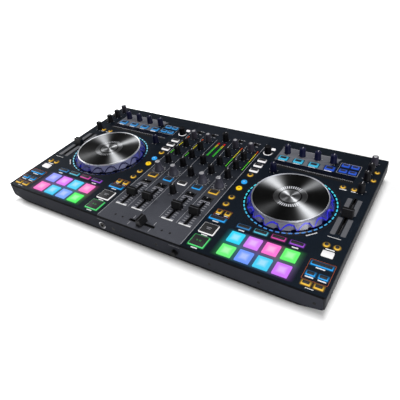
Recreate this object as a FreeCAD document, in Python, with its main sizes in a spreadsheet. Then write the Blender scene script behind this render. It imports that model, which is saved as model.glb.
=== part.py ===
"""Two-deck DJ controller with a four-channel mixer section, as an assembly of separate pieces.

Frame: X to the right, Y to the back, Z up, in millimetres. The origin is on the table, under the
middle of the case.
"""
import FreeCAD, Part
import math
import os

Vector = FreeCAD.Vector
Rotation = FreeCAD.Rotation
Placement = FreeCAD.Placement

DOC = FreeCAD.newDocument("dj_controller")
SHEET = DOC.addObject("Spreadsheet::Sheet", "Sizes")

# Driving dimensions, all in millimetres unless the name says otherwise.
SIZES = {
    # case
    "case_width": 739,
    "case_depth": 409,
    "foot_height": 9,
    "foot_radius": 13,
    "foot_taper": 2,
    "foot_pitch_x": 280,
    "foot_pitch_y": 160,
    "tray_height": 37,
    "end_wall_height": 28,
    "end_ramp_run": 44.5,
    "wall": 2.5,
    "case_corner_radius": 3,
    "end_edge_radius": 4,
    "cheek_width": 3.5,
    "front_plate_thickness": 2,
    "front_plate_gap": 0.2,
    "panel_thickness": 2.5,
    "panel_bevel": 0.7,
    "panel_recess_radius": 2.5,
    "panel_recess_depth": 0.8,
    "panel_recess_outer_x": 66.2,
    "panel_recess_inner_x": 47.8,
    "groove_depth": 0.8,
    "groove_height": 0.8,
    "post_radius": 4,
    "post_outer_x": 316,
    "post_inner_x": 155,
    "post_y": 190,
    "screw_radius": 1.5,
    "screw_head_radius": 3,
    "screw_head_height": 2,
    "screw_gap": 0.15,
    "screw_bite": 1.5,
    "front_screw_x_1": 43.5,
    "front_screw_x_2": 160.5,
    "front_screw_x_3": 256,
    "front_screw_x_4": 352,
    "front_screw_drop": 19,
    "front_screw_length": 9,
    "front_boss_length": 7,
    # board and the parts on it
    "board_width": 660,
    "board_front": 150,
    "board_back": 165,
    "board_thickness": 1.6,
    "board_level": 30,
    "standoff_radius": 3.5,
    "standoff_pitch_x": 300,
    "standoff_pitch_y": 130,
    "pot_size": 11,
    "pot_height": 9.4,
    "pot_bush_radius": 4.5,
    "shaft_radius": 3,
    "shaft_gap": 0.05,
    "shaft_hole_gap": 0.6,
    "knob_grip": 12,
    "knob_lift": 0.6,
    # knobs
    "knob_radius": 6.4,
    "knob_top_radius": 5.4,
    "knob_height": 19.4,
    "filter_radius": 8.2,
    "filter_top_radius": 6.2,
    "filter_height": 21.9,
    "browse_radius": 7.6,
    "browse_top_radius": 7,
    "browse_height": 17,
    "contour_radius": 6,
    "contour_top_radius": 5.6,
    "contour_height": 6.9,
    "contour_grip": 3.4,
    "knob_flange": 1,
    "knob_flange_height": 1.2,
    "knob_rim": 0.9,
    "knob_dish": 0.4,
    "pointer_width": 1.2,
    "pointer_depth": 1,
    # jog wheels
    "jog_x": 232,
    "jog_y": -11,
    "platter_radius": 75.5,
    "platter_height": 16.5,
    "platter_thickness": 3,
    "platter_rim": 2.2,
    "platter_dish": 0.8,
    "label_ring_radius": 33,
    "label_disc_radius": 20,
    "label_step": 0.5,
    "skirt_radius": 84,
    "skirt_top_radius": 76.8,
    "skirt_lift": 0.8,
    "skirt_lip": 1.7,
    "skirt_wall": 5,
    "skirt_deck": 3,
    "hub_radius": 20,
    "hub_gap": 0.3,
    "spindle_radius": 6,
    "spindle_gap": 0.05,
    "bearing_radius": 10,
    "bearing_base": 33,
    "bearing_plate": 2,
    "thrust_gap": 0.3,
    "scallop_count": 17,
    "scallop_radius": 6.4,
    "scallop_tip_radius": 1.4,
    "scallop_offset": 2.4,
    "ring_inner_radius": 87,
    "ring_outer_radius": 92,
    "ring_flange": 2.5,
    "ring_rise": 0.2,
    "lens_gap": 0.3,
    "lens_flange": 1.5,
    "lens_flange_thickness": 1.5,
    # faders
    "fader_travel": 60,
    "fader_y": -117.5,
    "crossfader_travel": 50,
    "crossfader_y": -185.6,
    "pitch_travel": 100,
    "pitch_x": 342,
    "pitch_y": -5,
    "stem_width": 3,
    "stem_length": 6,
    "slot_gap": 0.5,
    "slot_end_gap": 1.5,
    "stem_reach": 8,
    "slide_pot_width": 14,
    "slide_pot_end": 10,
    "cap_width": 22,
    "cap_depth": 14,
    "cap_height": 15.7,
    "cap_lift": 0.8,
    "cap_waist": 3,
    "cap_ridge": 2.2,
    "cap_saddle": 4.4,
    "cap_edge_radius": 1,
    # pads and keys
    "pad_x": 235.2,
    "pad_size": 27,
    "pad_pitch_x": 34.6,
    "pad_pitch_y": 35.6,
    "pad_back_row": -145,
    "pad_corner": 2,
    "pad_rise": 2,
    "pad_edge_radius": 1,
    "mat_margin": 2,
    "mat_thickness": 1.7,
    "key_rise": 2.4,
    "key_gap": 0.4,
    "key_play": 0.3,
    "key_flange": 0.8,
    "key_flange_thickness": 1.2,
    "key_corner": 1.5,
    "key_edge": 0.4,
    "cue_x": 127,
    "cue_width": 31.5,
    "cue_depth": 27.5,
    "mode_y": -113,
    "mode_width": 25,
    "mode_depth": 9,
    "column_x": 120,
    "left_column_x": 116,
    "lit_key_y": 101,
    "lit_key_pitch": 20.7,
    "lit_key_width": 19,
    "lit_key_depth": 12,
    "round_key_y": 12.5,
    "round_key_pitch": 23.5,
    "round_key_diameter": 12.4,
    "dot_key_back_y": 41,
    "dot_key_y": -43.5,
    "dot_key_diameter": 11,
    "square_key_y": -93,
    "square_key_pitch": 18.5,
    "square_key_size": 10,
    "shift_key_y": -112.6,
    "shift_key_width": 34,
    "shift_key_depth": 10.5,
    "grid_key_offset": 60.5,
    "grid_key_pitch_x": 20,
    "grid_key_y": 130,
    "grid_key_pitch_y": 21,
    "grid_key_width": 15.5,
    "grid_key_depth": 10,
    "back_key_offset": 6.5,
    "back_key_y": 153,
    "back_key_width": 9,
    "back_key_depth": 6,
    "corner_key_x": 357.5,
    "corner_key_shift": 1.5,
    "corner_key_diameter": 8,
    "load_key_x": 331.5,
    "load_key_pitch": 22.5,
    "load_key_diameter": 9,
    "edge_dot_y": -94,
    "edge_dot_offset": 9.4,
    "edge_dot_diameter": 10.5,
    "edge_key_y": -115.7,
    "edge_key_width": 20,
    "edge_key_depth": 13,
    "edge_bar_y": -143.3,
    "edge_bar_width": 37,
    "edge_bar_depth": 9,
    "edge_pair_y": -167.5,
    "edge_pair_pitch": 21.5,
    "edge_pair_offset": 10.6,
    "edge_pair_width": 15,
    "edge_pair_depth": 9,
    # effect section and the rest of the deck
    "effect_offset": -20.4,
    "effect_pitch": 35.2,
    "effect_knob_y": 154,
    "effect_key_y": 129,
    "effect_key_width": 20,
    "effect_key_depth": 14,
    "strip_length": 175,
    "strip_width": 12,
    "strip_y": 111.5,
    "corner_knob_x": 344.5,
    "corner_back_y": 180,
    "corner_pitch": 30.5,
    "corner_front_y": 76.3,
    "side_knob_x": 158,
    "side_knob_y": 76,
    "browse_x": 118,
    "browse_y": 136,
    # mixer section
    "channel_outer_x": 78.3,
    "channel_inner_x": 37.3,
    "level_y": 130,
    "row_pitch": 37.7,
    "channel_key_y": -43.5,
    "channel_key_width": 19.5,
    "channel_key_depth": 12.5,
    "switch_y": -68.5,
    "switch_travel": 4,
    "switch_width": 7,
    "switch_depth": 6,
    "switch_rise": 4,
    "meter_outer_x": 95,
    "meter_inner_x": 54.3,
    "meter_width": 5,
    "meter_front": 49,
    "meter_back": 133,
    "master_meter_x": 7.5,
    "master_meter_front": 72,
    "centre_back_y": 150,
    "centre_mid_y": 44,
    "centre_front_y": -8,
    "centre_low_y": -78,
    # sockets
    "phono_main_x": 45,
    "phono_first_x": -5,
    "phono_pitch": 30,
    "line_jack_x": 130,
    "line_jack_pitch": 25,
    "data_x": 215,
    "data_pitch": 25,
    "mic_x": -205,
    "mic_pitch": 45,
    "inlet_x": 265,
    "socket_drop": 21,
    "jack_x": -92,
    "small_jack_x": -63.4,
    "contour_x": 86.7,
    "jack_bore_radius": 3.25,
    "jack_bush_radius": 4.6,
    "jack_ring_radius": 6.5,
    "jack_ring_height": 1.5,
    "jack_bore_length": 28,
    "jack_body": 14,
    "jack_end_wall": 2,
    "small_jack_radius": 1.8,
    "small_bush_radius": 3.6,
    "small_jack_body": 7,
    "small_jack_depth": 14,
    "phono_radius": 4.15,
    "phono_collar_radius": 6.2,
    "phono_collar_height": 1.5,
    "phono_reach": 7.5,
    "phono_tail": 7,
    "phono_hole_radius": 1.6,
    "phono_rows": 7,
    "inlet_width": 27,
    "inlet_depth": 19.5,
    "inlet_wall": 1.5,
    "inlet_lip": 2,
    "data_width": 12,
    "data_depth": 10.8,
    "data_wall": 1.6,
    "data_lip": 2,
    "socket_body": 18,
    "socket_cavity": 14,
    "mic_radius": 11.6,
    "mic_plate": 27,
    "mic_pin_radius": 1.3,
    "mic_pin_circle": 5.5,
    "socket_gap": 0.3,
    # how far a cut runs past the face that it opens
    "cut_margin": 1,
}

for row, (alias, value) in enumerate(SIZES.items(), start=1):
    SHEET.set(f"A{row}", alias)
    SHEET.set(f"B{row}", str(value))
    SHEET.setAlias(f"B{row}", alias)
DOC.recompute()


def size(alias):
    """The value that a cell of the sheet holds."""
    return float(SHEET.get(alias))


# Levels that several pieces share.
RIM = size("foot_height") + size("tray_height")
PANEL_TOP = RIM + size("panel_thickness")
BOARD_TOP = size("board_level") + size("board_thickness")
HALF_WIDTH = size("case_width") / 2
HALF_DEPTH = size("case_depth") / 2
SOCKET_LEVEL = RIM - size("socket_drop")
FRONT_SCREW_LEVEL = RIM - size("front_screw_drop")
FRONT_INNER = -HALF_DEPTH + size("front_plate_thickness") + size("wall")
BACK_INNER = HALF_DEPTH - size("wall")
FRONT_SCREWS = [size(f"front_screw_x_{number}") for number in (1, 2, 3, 4)]
BOTH_SIDES = (-1, 1)
CUT_PAST = size("cut_margin")
CHANNELS = {
    1: -size("channel_outer_x"),
    2: -size("channel_inner_x"),
    3: size("channel_inner_x"),
    4: size("channel_outer_x"),
}

NODES = []


def at(x=0, y=0, z=0, rotation=None):
    return Placement(Vector(x, y, z), rotation or Rotation())


def node(item, label):
    """Keep an object as a sub-part under its own label."""
    item.Label = label
    NODES.append(item)
    return item


def solid(kind, name, place, **formulas):
    """A Part primitive whose sizes are formulas on the sheet."""
    item = DOC.addObject("Part::" + kind, name)
    for prop, formula in formulas.items():
        item.setExpression(prop, formula)
    item.Placement = place
    return item


def block(name, low, spans):
    """A box from its low corner, with spans worked out from the sheet's values."""
    item = DOC.addObject("Part::Box", name)
    item.Length, item.Width, item.Height = spans
    item.Placement = at(*low)
    return item


def rod(name, place, radius, height):
    """A cylinder along the placement's own Z, with sizes worked out from the sheet's values."""
    item = DOC.addObject("Part::Cylinder", name)
    item.Radius = radius
    item.Height = height
    item.Placement = place
    return item


def fused(name, pieces):
    item = DOC.addObject("Part::MultiFuse", name)
    item.Shapes = pieces
    return item


def cut(name, base, tool):
    item = DOC.addObject("Part::Cut", name)
    item.Base = base
    item.Tool = tool
    return item


def group(label, pieces):
    """Separate solids that share one node."""
    item = DOC.addObject("Part::Compound", label)
    item.Links = pieces
    return node(item, label)


# PartDesign helpers

def new_body(label, place=None):
    body = DOC.addObject("PartDesign::Body", label)
    body.Placement = place or Placement()
    return node(body, label)


def origin_feature(body, role):
    return [feature for feature in body.Origin.OriginFeatures if feature.Role == role][0]


def sketch_on(body, name, role="XY_Plane", offset=0):
    """A sketch on an origin plane of its own body, moved along the plane's normal."""
    sketch = body.newObject("Sketcher::SketchObject", name)
    sketch.AttachmentSupport = [(origin_feature(body, role), "")]
    sketch.MapMode = "FlatFace"
    sketch.AttachmentOffset = at(0, 0, offset)
    return sketch


def polygon(sketch, points):
    corners = [Vector(x, y, 0) for x, y in points]
    for first, last in zip(corners, corners[1:] + corners[:1]):
        sketch.addGeometry(Part.LineSegment(first, last), False)


def disc(sketch, x, y, radius):
    sketch.addGeometry(Part.Circle(Vector(x, y, 0), Vector(0, 0, 1), radius), False)


def rounded(sketch, x, y, width, depth, radius):
    """A rectangle with round corners about its centre."""
    half_w, half_d = width / 2, depth / 2
    in_w, in_d = half_w - radius, half_d - radius
    turns = ((1, 1, 0), (-1, 1, 1), (-1, -1, 2), (1, -1, 3))
    ends = []
    for sign_x, sign_y, quarter in turns:
        centre = Vector(x + sign_x * in_w, y + sign_y * in_d, 0)
        circle = Part.Circle(centre, Vector(0, 0, 1), radius)
        start = quarter * math.pi / 2
        arc = Part.ArcOfCircle(circle, start, start + math.pi / 2)
        sketch.addGeometry(arc, False)
        ends.append((arc.StartPoint, arc.EndPoint))
    for index, (_, leave) in enumerate(ends):
        arrive = ends[(index + 1) % len(ends)][0]
        sketch.addGeometry(Part.LineSegment(leave, arrive), False)


def outline(sketch, key, grow=0):
    """The outline of a key or hole: a circle where its depth is None, else a rounded rectangle."""
    x, y, width, depth = key
    if depth is None:
        disc(sketch, x, y, width / 2 + grow)
    else:
        rounded(sketch, x, y, width + 2 * grow, depth + 2 * grow, size("key_corner") + max(grow, 0))


def pad(body, name, sketch, length, symmetric=False, reversed_=False):
    """Pad a sketch; the length is a formula on the sheet or a plain value."""
    feature = body.newObject("PartDesign::Pad", name)
    feature.Profile = sketch
    if isinstance(length, str):
        feature.setExpression("Length", length)
    else:
        feature.Length = length
    feature.SideType = "Symmetric" if symmetric else "One side"
    feature.Reversed = reversed_
    return feature


def pocket(body, name, sketch, length, symmetric=False, reversed_=False):
    """Cut a sketch out of a body, and make sure that the cut took material away."""
    DOC.recompute()
    before = body.Shape.Volume
    feature = body.newObject("PartDesign::Pocket", name)
    feature.Profile = sketch
    if isinstance(length, str):
        feature.setExpression("Length", length)
    else:
        feature.Length = length
    feature.SideType = "Symmetric" if symmetric else "One side"
    feature.Reversed = reversed_
    DOC.recompute()
    if body.Shape.Volume >= before:
        raise RuntimeError(f"{name} cuts nothing")
    return feature


def edges_where(feature, test):
    """Names of the edges of a feature whose ends pass a test."""
    names = []
    for index, edge in enumerate(feature.Shape.Edges, start=1):
        if test(edge):
            names.append(f"Edge{index}")
    return names


def dress(body, kind, name, feature, test, formula):
    """A fillet or chamfer on the edges that pass a test."""
    DOC.recompute()
    item = body.newObject("PartDesign::" + kind, name)
    item.Base = (feature, edges_where(feature, test))
    prop = "Radius" if kind == "Fillet" else "Size"
    item.setExpression(prop, formula)
    return item


TOUCH = 1e-4


def near(a, b):
    return abs(a - b) < TOUCH


# Where the keys are: (x, y, width, depth), with no depth for a round key.

def mirrored(side, keys):
    return [(side * x, y, width, depth) for x, y, width, depth in keys]


def effect_columns(side):
    """X of the four effect knobs of a deck; the section isn't mirrored."""
    middle = side * size("jog_x") + size("effect_offset")
    return [middle + step * size("effect_pitch") for step in (-1.5, -0.5, 0.5, 1.5)]


def pad_columns(side):
    middle = side * size("pad_x")
    return [middle + step * size("pad_pitch_x") for step in (-1.5, -0.5, 0.5, 1.5)]


def deck_keys(side):
    """The keys of a deck, apart from its cue and play keys."""
    return section_keys(side) + mirrored(side, column_keys(side) + edge_keys())


def section_keys(side):
    """Pad mode, effect, grid and back keys, which lie the same way round on both decks."""
    jog, browse = side * size("jog_x"), side * size("browse_x")
    keys = [(x, size("mode_y"), size("mode_width"), size("mode_depth")) for x in pad_columns(side)]
    for x in effect_columns(side):
        keys.append((x, size("effect_key_y"), size("effect_key_width"), size("effect_key_depth")))
    for column in (0, 1):
        x = jog + size("grid_key_offset") + column * size("grid_key_pitch_x")
        for row in (0, 1):
            y = size("grid_key_y") + row * size("grid_key_pitch_y")
            keys.append((x, y, size("grid_key_width"), size("grid_key_depth")))
    back_x = browse + size("back_key_offset")
    keys.append((back_x, size("back_key_y"), size("back_key_width"), size("back_key_depth")))
    return keys


def column_keys(side):
    """Keys between the mixer and a jog wheel, before mirroring; the left column stands nearer the mixer."""
    x = size("column_x") if side > 0 else size("left_column_x")
    keys = []
    for row in (0, 1, 2):
        y = size("lit_key_y") - row * size("lit_key_pitch")
        keys.append((x, y, size("lit_key_width"), size("lit_key_depth")))
    for row in (0, 1):
        step = row * size("round_key_pitch")
        keys.append((x, size("round_key_y") - step, size("round_key_diameter"), None))
        keys.append((x, size("dot_key_y") - step, size("dot_key_diameter"), None))
        square = x + row * size("square_key_pitch")
        keys.append((square, size("square_key_y"), size("square_key_size"), size("square_key_size")))
    keys.append((x, size("dot_key_back_y"), size("dot_key_diameter"), None))
    keys.append((size("cue_x"), size("shift_key_y"), size("shift_key_width"), size("shift_key_depth")))
    return keys


def edge_keys():
    """Keys along the outer edge of the right-hand deck."""
    x = size("pitch_x")
    keys = [
        (x, size("edge_key_y"), size("edge_key_width"), size("edge_key_depth")),
        (x, size("edge_bar_y"), size("edge_bar_width"), size("edge_bar_depth")),
    ]
    for row in (1, 2):
        y = size("corner_back_y") - row * size("corner_pitch") + size("corner_key_shift")
        keys.append((size("corner_key_x"), y, size("corner_key_diameter"), None))
    for step in (0, 1):
        load = size("load_key_x") - step * size("load_key_pitch")
        keys.append((load, size("corner_front_y"), size("load_key_diameter"), None))
    for sign in BOTH_SIDES:
        keys.append((x + sign * size("edge_dot_offset"), size("edge_dot_y"), size("edge_dot_diameter"), None))
        pair = x + sign * size("edge_pair_offset")
        for row in (0, 1):
            y = size("edge_pair_y") - row * size("edge_pair_pitch")
            keys.append((pair, y, size("edge_pair_width"), size("edge_pair_depth")))
    return keys


def mixer_keys():
    columns = list(CHANNELS.values()) + [0]
    return [(x, size("channel_key_y"), size("channel_key_width"), size("channel_key_depth")) for x in columns]


def cue_play_keys(side):
    """The cue key behind and the play key in front, in line with the two rows of pads."""
    back = size("pad_back_row")
    rows = {"cue": back, "play": back - size("pad_pitch_y")}
    return {name: (side * size("cue_x"), y, size("cue_width"), size("cue_depth")) for name, y in rows.items()}


def pads(side):
    back = size("pad_back_row")
    rows = (back, back - size("pad_pitch_y"))
    return [(x, y) for y in rows for x in pad_columns(side)]


# Where the knobs are.

def knob_row(row):
    """Y of a row of the mixer's knobs, counted from the level row at the back."""
    return size("level_y") - row * size("row_pitch")


TONE_ROWS = {"high": 1, "mid": 2, "low": 3}
FILTER_ROW = 4


def trim_knob_places():
    """Level, corner, centre and jog-side knobs."""
    corner_rows = [size("corner_back_y") - row * size("corner_pitch") for row in (0, 1, 2)]
    corner_rows.append(size("corner_front_y"))
    places = [(x, size("level_y")) for x in CHANNELS.values()]
    for side in BOTH_SIDES:
        places += [(side * size("corner_knob_x"), y) for y in corner_rows]
        places.append((side * size("side_knob_x"), size("side_knob_y")))
    places += [(0, size(f"centre_{row}_y")) for row in ("back", "mid", "front", "low")]
    return places


def moving_knob_places():
    """Name, place and kind of each knob that turns by itself."""
    places = []
    for number, x in CHANNELS.items():
        for tone, row in TONE_ROWS.items():
            places.append((f"channel_{number}_{tone}_knob", x, knob_row(row), "knob"))
        places.append((f"channel_{number}_filter_knob", x, knob_row(FILTER_ROW), "filter"))
    for side, deck in zip(BOTH_SIDES, ("left", "right")):
        for number, x in enumerate(effect_columns(side), start=1):
            places.append((f"{deck}_effect_knob_{number}", x, size("effect_knob_y"), "knob"))
        places.append((f"{deck}_browse_knob", side * size("browse_x"), size("browse_y"), "browse"))
    return places


# Where the faders are: name, place, travel, and whether it runs along X.

def fader_places():
    places = []
    for number, x in CHANNELS.items():
        places.append((f"channel_{number}_fader", x, size("fader_y"), size("fader_travel"), False))
    places.append(("crossfader", 0, size("crossfader_y"), size("crossfader_travel"), True))
    for side, deck in zip(BOTH_SIDES, ("left", "right")):
        x = side * size("pitch_x")
        places.append((f"{deck}_pitch_fader", x, size("pitch_y"), size("pitch_travel"), False))
    return places


def slot_spans(travel, along_x):
    """Width and depth of the slot that a fader's stem runs in."""
    length = travel + size("stem_length") + 2 * size("slot_end_gap")
    width = size("stem_width") + 2 * size("slot_gap")
    return (length, width) if along_x else (width, length)


def switch_slot():
    """Width and depth of the slot of an assign switch."""
    gap = size("slot_gap")
    return size("switch_width") + size("switch_travel") * 2 + 2 * gap, size("switch_depth") + 2 * gap


# Level meter windows and touch strips: (x, y, width, depth).

def lens_places():
    back = size("meter_back")
    length = back - size("meter_front")
    master = back - size("master_meter_front")
    places = []
    for side in BOTH_SIDES:
        for x in (size("meter_outer_x"), size("meter_inner_x")):
            places.append((side * x, back - length / 2, size("meter_width"), length))
        places.append((side * size("master_meter_x"), back - master / 2, size("meter_width"), master))
        places.append((side * size("pad_x"), size("strip_y"), size("strip_length"), size("strip_width")))
    return places


# X of the sockets of the back wall, from the right-hand end to the left.

INLET_X = size("inlet_x")
DATA_SOCKETS = [size("data_x") - step * size("data_pitch") for step in (0, 1)]
LINE_JACKS = [size("line_jack_x") - step * size("line_jack_pitch") for step in (0, 1, 2)]
MIC_SOCKETS = [size("mic_x") - step * size("mic_pitch") for step in (0, 1)]
MIC_PIN_TURNS = (30, 150, 270)
PHONO_COLUMNS = [size("phono_main_x")]
PHONO_COLUMNS += [size("phono_first_x") - step * size("phono_pitch") for step in (0, 1, 2, 3)]


def phono_places():
    """X and Z of the phono jacks, which stand in pairs."""
    step = size("phono_rows")
    return [(x, SOCKET_LEVEL + row * step) for x in PHONO_COLUMNS for row in BOTH_SIDES]


# The case

def end_profile(sketch, side_gap, lift, top):
    """Front view of the case: flat below, with ramps up to the low end walls."""
    half = HALF_WIDTH - side_gap
    floor = size("foot_height") + lift
    end = RIM - size("end_wall_height") + lift
    slope = (size("tray_height") - size("end_wall_height")) / size("end_ramp_run")
    corner = end - slope * side_gap
    flat = HALF_WIDTH - size("end_ramp_run")
    left = [(-half, top), (-half, corner), (-flat, floor)]
    polygon(sketch, left + [(-x, z) for x, z in reversed(left)])


def post_places():
    return [(sx * x, sy * size("post_y")) for sx in BOTH_SIDES for sy in BOTH_SIDES
            for x in (size("post_outer_x"), size("post_inner_x"))]


def standoff_places():
    half = size("standoff_pitch_x")
    return [(x, sy * size("standoff_pitch_y")) for sy in BOTH_SIDES for x in (-half, 0, half)]


def bottom_tray():
    body = new_body("bottom_tray")
    outer = sketch_on(body, "tray_outline", "XZ_Plane")
    end_profile(outer, 0, 0, RIM)
    shell = pad(body, "tray_block", outer, "Sizes.case_depth", symmetric=True)

    def upright(edge):
        ends = [vertex.Point for vertex in edge.Vertexes]
        at_corner = [near(abs(end.x), HALF_WIDTH) and near(abs(end.y), HALF_DEPTH) for end in ends]
        return len(ends) == 2 and all(at_corner)

    def end_corner(edge):
        low = RIM - size("end_wall_height")
        ends = [vertex.Point for vertex in edge.Vertexes]
        return len(ends) == 2 and all(near(abs(end.x), HALF_WIDTH) and near(end.z, low) for end in ends)

    rounded_ends = dress(body, "Fillet", "tray_end_edges", shell, end_corner, "Sizes.end_edge_radius")
    dress(body, "Fillet", "tray_corners", rounded_ends, upright, "Sizes.case_corner_radius")

    inner = sketch_on(body, "tray_inside", "XZ_Plane", -size("front_plate_thickness") / 2)
    end_profile(inner, size("wall"), size("wall"), RIM + size("wall"))
    depth = "Sizes.case_depth - 2 * Sizes.wall - Sizes.front_plate_thickness"
    pocket(body, "tray_hollow", inner, depth, symmetric=True)

    recess = sketch_on(body, "plate_recess", "XZ_Plane", HALF_DEPTH - size("front_plate_thickness"))
    half = HALF_WIDTH - size("cheek_width")
    polygon(recess, [(-half, 0), (half, 0), (half, RIM + CUT_PAST), (-half, RIM + CUT_PAST)])
    pocket(body, "front_recess", recess, "Sizes.front_plate_thickness + Sizes.cut_margin", reversed_=True)

    posts = sketch_on(body, "post_outlines", "XY_Plane", size("foot_height"))
    for x, y in post_places():
        disc(posts, x, y, size("post_radius"))
    pad(body, "screw_posts", posts, "Sizes.tray_height")
    standoffs = sketch_on(body, "standoff_outlines", "XY_Plane", size("foot_height"))
    for x, y in standoff_places():
        disc(standoffs, x, y, size("standoff_radius"))
    pad(body, "board_standoffs", standoffs, "Sizes.board_level - Sizes.foot_height")
    bosses = sketch_on(body, "boss_outlines", "XZ_Plane", -FRONT_INNER)
    for x in FRONT_SCREWS:
        for side in BOTH_SIDES:
            disc(bosses, side * x, FRONT_SCREW_LEVEL, size("post_radius"))
    pad(body, "front_bosses", bosses, "Sizes.front_boss_length", reversed_=True)

    heads = sketch_on(body, "head_seats", "XY_Plane", size("foot_height"))
    shanks = sketch_on(body, "shank_holes", "XY_Plane", size("foot_height"))
    for x, y in post_places():
        disc(heads, x, y, size("screw_head_radius") + size("screw_gap"))
        disc(shanks, x, y, size("screw_radius") + size("screw_gap"))
    pocket(body, "screw_head_seats", heads, "Sizes.screw_head_height", reversed_=True)
    pocket(body, "screw_shank_holes", shanks, "Sizes.tray_height + Sizes.cut_margin", reversed_=True)

    front = sketch_on(body, "front_hole_outlines", "XZ_Plane", HALF_DEPTH)
    front_holes(front, size("screw_radius") + size("screw_gap"))
    deep = "Sizes.front_plate_thickness + Sizes.wall + Sizes.front_boss_length + Sizes.cut_margin"
    pocket(body, "front_holes", front, deep)

    back = sketch_on(body, "back_hole_outlines", "XZ_Plane", -HALF_DEPTH)
    gap = size("socket_gap")
    for x, z in phono_places():
        disc(back, x, z, size("phono_radius") + gap)
    for x in LINE_JACKS:
        disc(back, x, SOCKET_LEVEL, size("jack_bush_radius") + gap)
    for x in MIC_SOCKETS:
        disc(back, x, SOCKET_LEVEL, size("mic_radius") + gap)
    for x in DATA_SOCKETS:
        width, height = size("data_width") + 2 * gap, size("data_depth") + 2 * gap
        rounded(back, x, SOCKET_LEVEL, width, height, gap)
    rounded(back, INLET_X, SOCKET_LEVEL, size("inlet_width") + 2 * gap, size("inlet_depth") + 2 * gap, gap)
    pocket(body, "back_holes", back, "Sizes.wall + Sizes.cut_margin", reversed_=True)
    return body


def front_holes(sketch, screw_hole):
    """Holes of the front wall: jacks, contour shaft and screws."""
    gap = size("socket_gap")
    disc(sketch, size("jack_x"), SOCKET_LEVEL, size("jack_bush_radius") + gap)
    disc(sketch, size("small_jack_x"), SOCKET_LEVEL, size("small_bush_radius") + gap)
    disc(sketch, size("contour_x"), SOCKET_LEVEL, size("shaft_radius") + size("shaft_hole_gap"))
    for x in FRONT_SCREWS:
        for side in BOTH_SIDES:
            disc(sketch, side * x, FRONT_SCREW_LEVEL, screw_hole)


def front_plate():
    body = new_body("front_plate")
    shape = sketch_on(body, "plate_outline", "XZ_Plane", HALF_DEPTH - size("front_plate_thickness"))
    end_profile(shape, size("cheek_width") + size("front_plate_gap"), 0, RIM - size("front_plate_gap"))
    pad(body, "plate", shape, "Sizes.front_plate_thickness")
    holes = sketch_on(body, "plate_holes", "XZ_Plane", HALF_DEPTH)
    front_holes(holes, size("screw_head_radius") + size("screw_gap"))
    pocket(body, "plate_openings", holes, "Sizes.front_plate_thickness + Sizes.cut_margin")
    return body


def top_panel():
    body = new_body("top_panel")
    inset = size("groove_depth")
    radius = size("case_corner_radius")
    low = sketch_on(body, "panel_step", "XY_Plane", RIM)
    rounded(low, 0, 0, size("case_width") - 2 * inset, size("case_depth") - 2 * inset, radius)
    pad(body, "panel_shadow_step", low, "Sizes.groove_height")
    high = sketch_on(body, "panel_outline", "XY_Plane", RIM + size("groove_height"))
    rounded(high, 0, 0, size("case_width"), size("case_depth"), radius)
    plate = pad(body, "panel_plate", high, "Sizes.panel_thickness - Sizes.groove_height")

    def top_edge(edge):
        return all(near(vertex.Z, PANEL_TOP) for vertex in edge.Vertexes)

    dress(body, "Chamfer", "panel_edge", plate, top_edge, "Sizes.panel_bevel")

    deep = "Sizes.panel_thickness + Sizes.cut_margin"
    gap = size("key_gap")
    wells = sketch_on(body, "jog_wells", "XY_Plane", PANEL_TOP)
    for side in BOTH_SIDES:
        disc(wells, side * size("jog_x"), size("jog_y"), size("ring_outer_radius") + size("lens_gap"))
    pocket(body, "jog_openings", wells, deep)
    keys = sketch_on(body, "key_holes", "XY_Plane", PANEL_TOP)
    for key in deck_keys(-1) + deck_keys(1) + mixer_keys():
        outline(keys, key, gap)
    for side in BOTH_SIDES:
        for key in cue_play_keys(side).values():
            outline(keys, key, gap)
        for x, y in pads(side):
            width = size("pad_size") + 2 * gap
            rounded(keys, x, y, width, width, size("pad_corner") + gap)
    pocket(body, "key_openings", keys, deep)
    slots = sketch_on(body, "slot_outlines", "XY_Plane", PANEL_TOP)
    for _, x, y, travel, along_x in fader_places():
        width, depth = slot_spans(travel, along_x)
        rounded(slots, x, y, width, depth, size("slot_gap"))
    for x in CHANNELS.values():
        width, depth = switch_slot()
        rounded(slots, x, size("switch_y"), width, depth, size("slot_gap"))
    pocket(body, "fader_slots", slots, deep)
    shafts = sketch_on(body, "shaft_holes", "XY_Plane", PANEL_TOP)
    for x, y in pot_places():
        disc(shafts, x, y, size("shaft_radius") + size("shaft_hole_gap"))
    pocket(body, "shaft_openings", shafts, deep)
    lenses = sketch_on(body, "lens_holes", "XY_Plane", PANEL_TOP)
    for x, y, width, depth in lens_places():
        grow = 2 * size("lens_gap")
        rounded(lenses, x, y, width + grow, depth + grow, size("lens_gap"))
    pocket(body, "lens_openings", lenses, deep)
    recesses = sketch_on(body, "crossfader_recesses", "XY_Plane", PANEL_TOP)
    for side in BOTH_SIDES:
        for x in (size("panel_recess_outer_x"), size("panel_recess_inner_x")):
            disc(recesses, side * x, size("crossfader_y"), size("panel_recess_radius"))
    pocket(body, "crossfader_screw_recesses", recesses, "Sizes.panel_recess_depth")
    threads = sketch_on(body, "screw_threads", "XY_Plane", RIM)
    for x, y in post_places():
        disc(threads, x, y, size("screw_radius") + size("screw_gap"))
    pocket(body, "screw_holes", threads, "Sizes.screw_bite", reversed_=True)
    return body


def rubber_feet():
    feet = []
    for sx in (-1, 0, 1):
        for sy in BOTH_SIDES:
            place = at(sx * size("foot_pitch_x"), sy * size("foot_pitch_y"), 0)
            feet.append(solid("Cone", "foot", place, Radius1="Sizes.foot_radius - Sizes.foot_taper",
                              Radius2="Sizes.foot_radius", Height="Sizes.foot_height"))
    return group("rubber_feet", feet)


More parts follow.
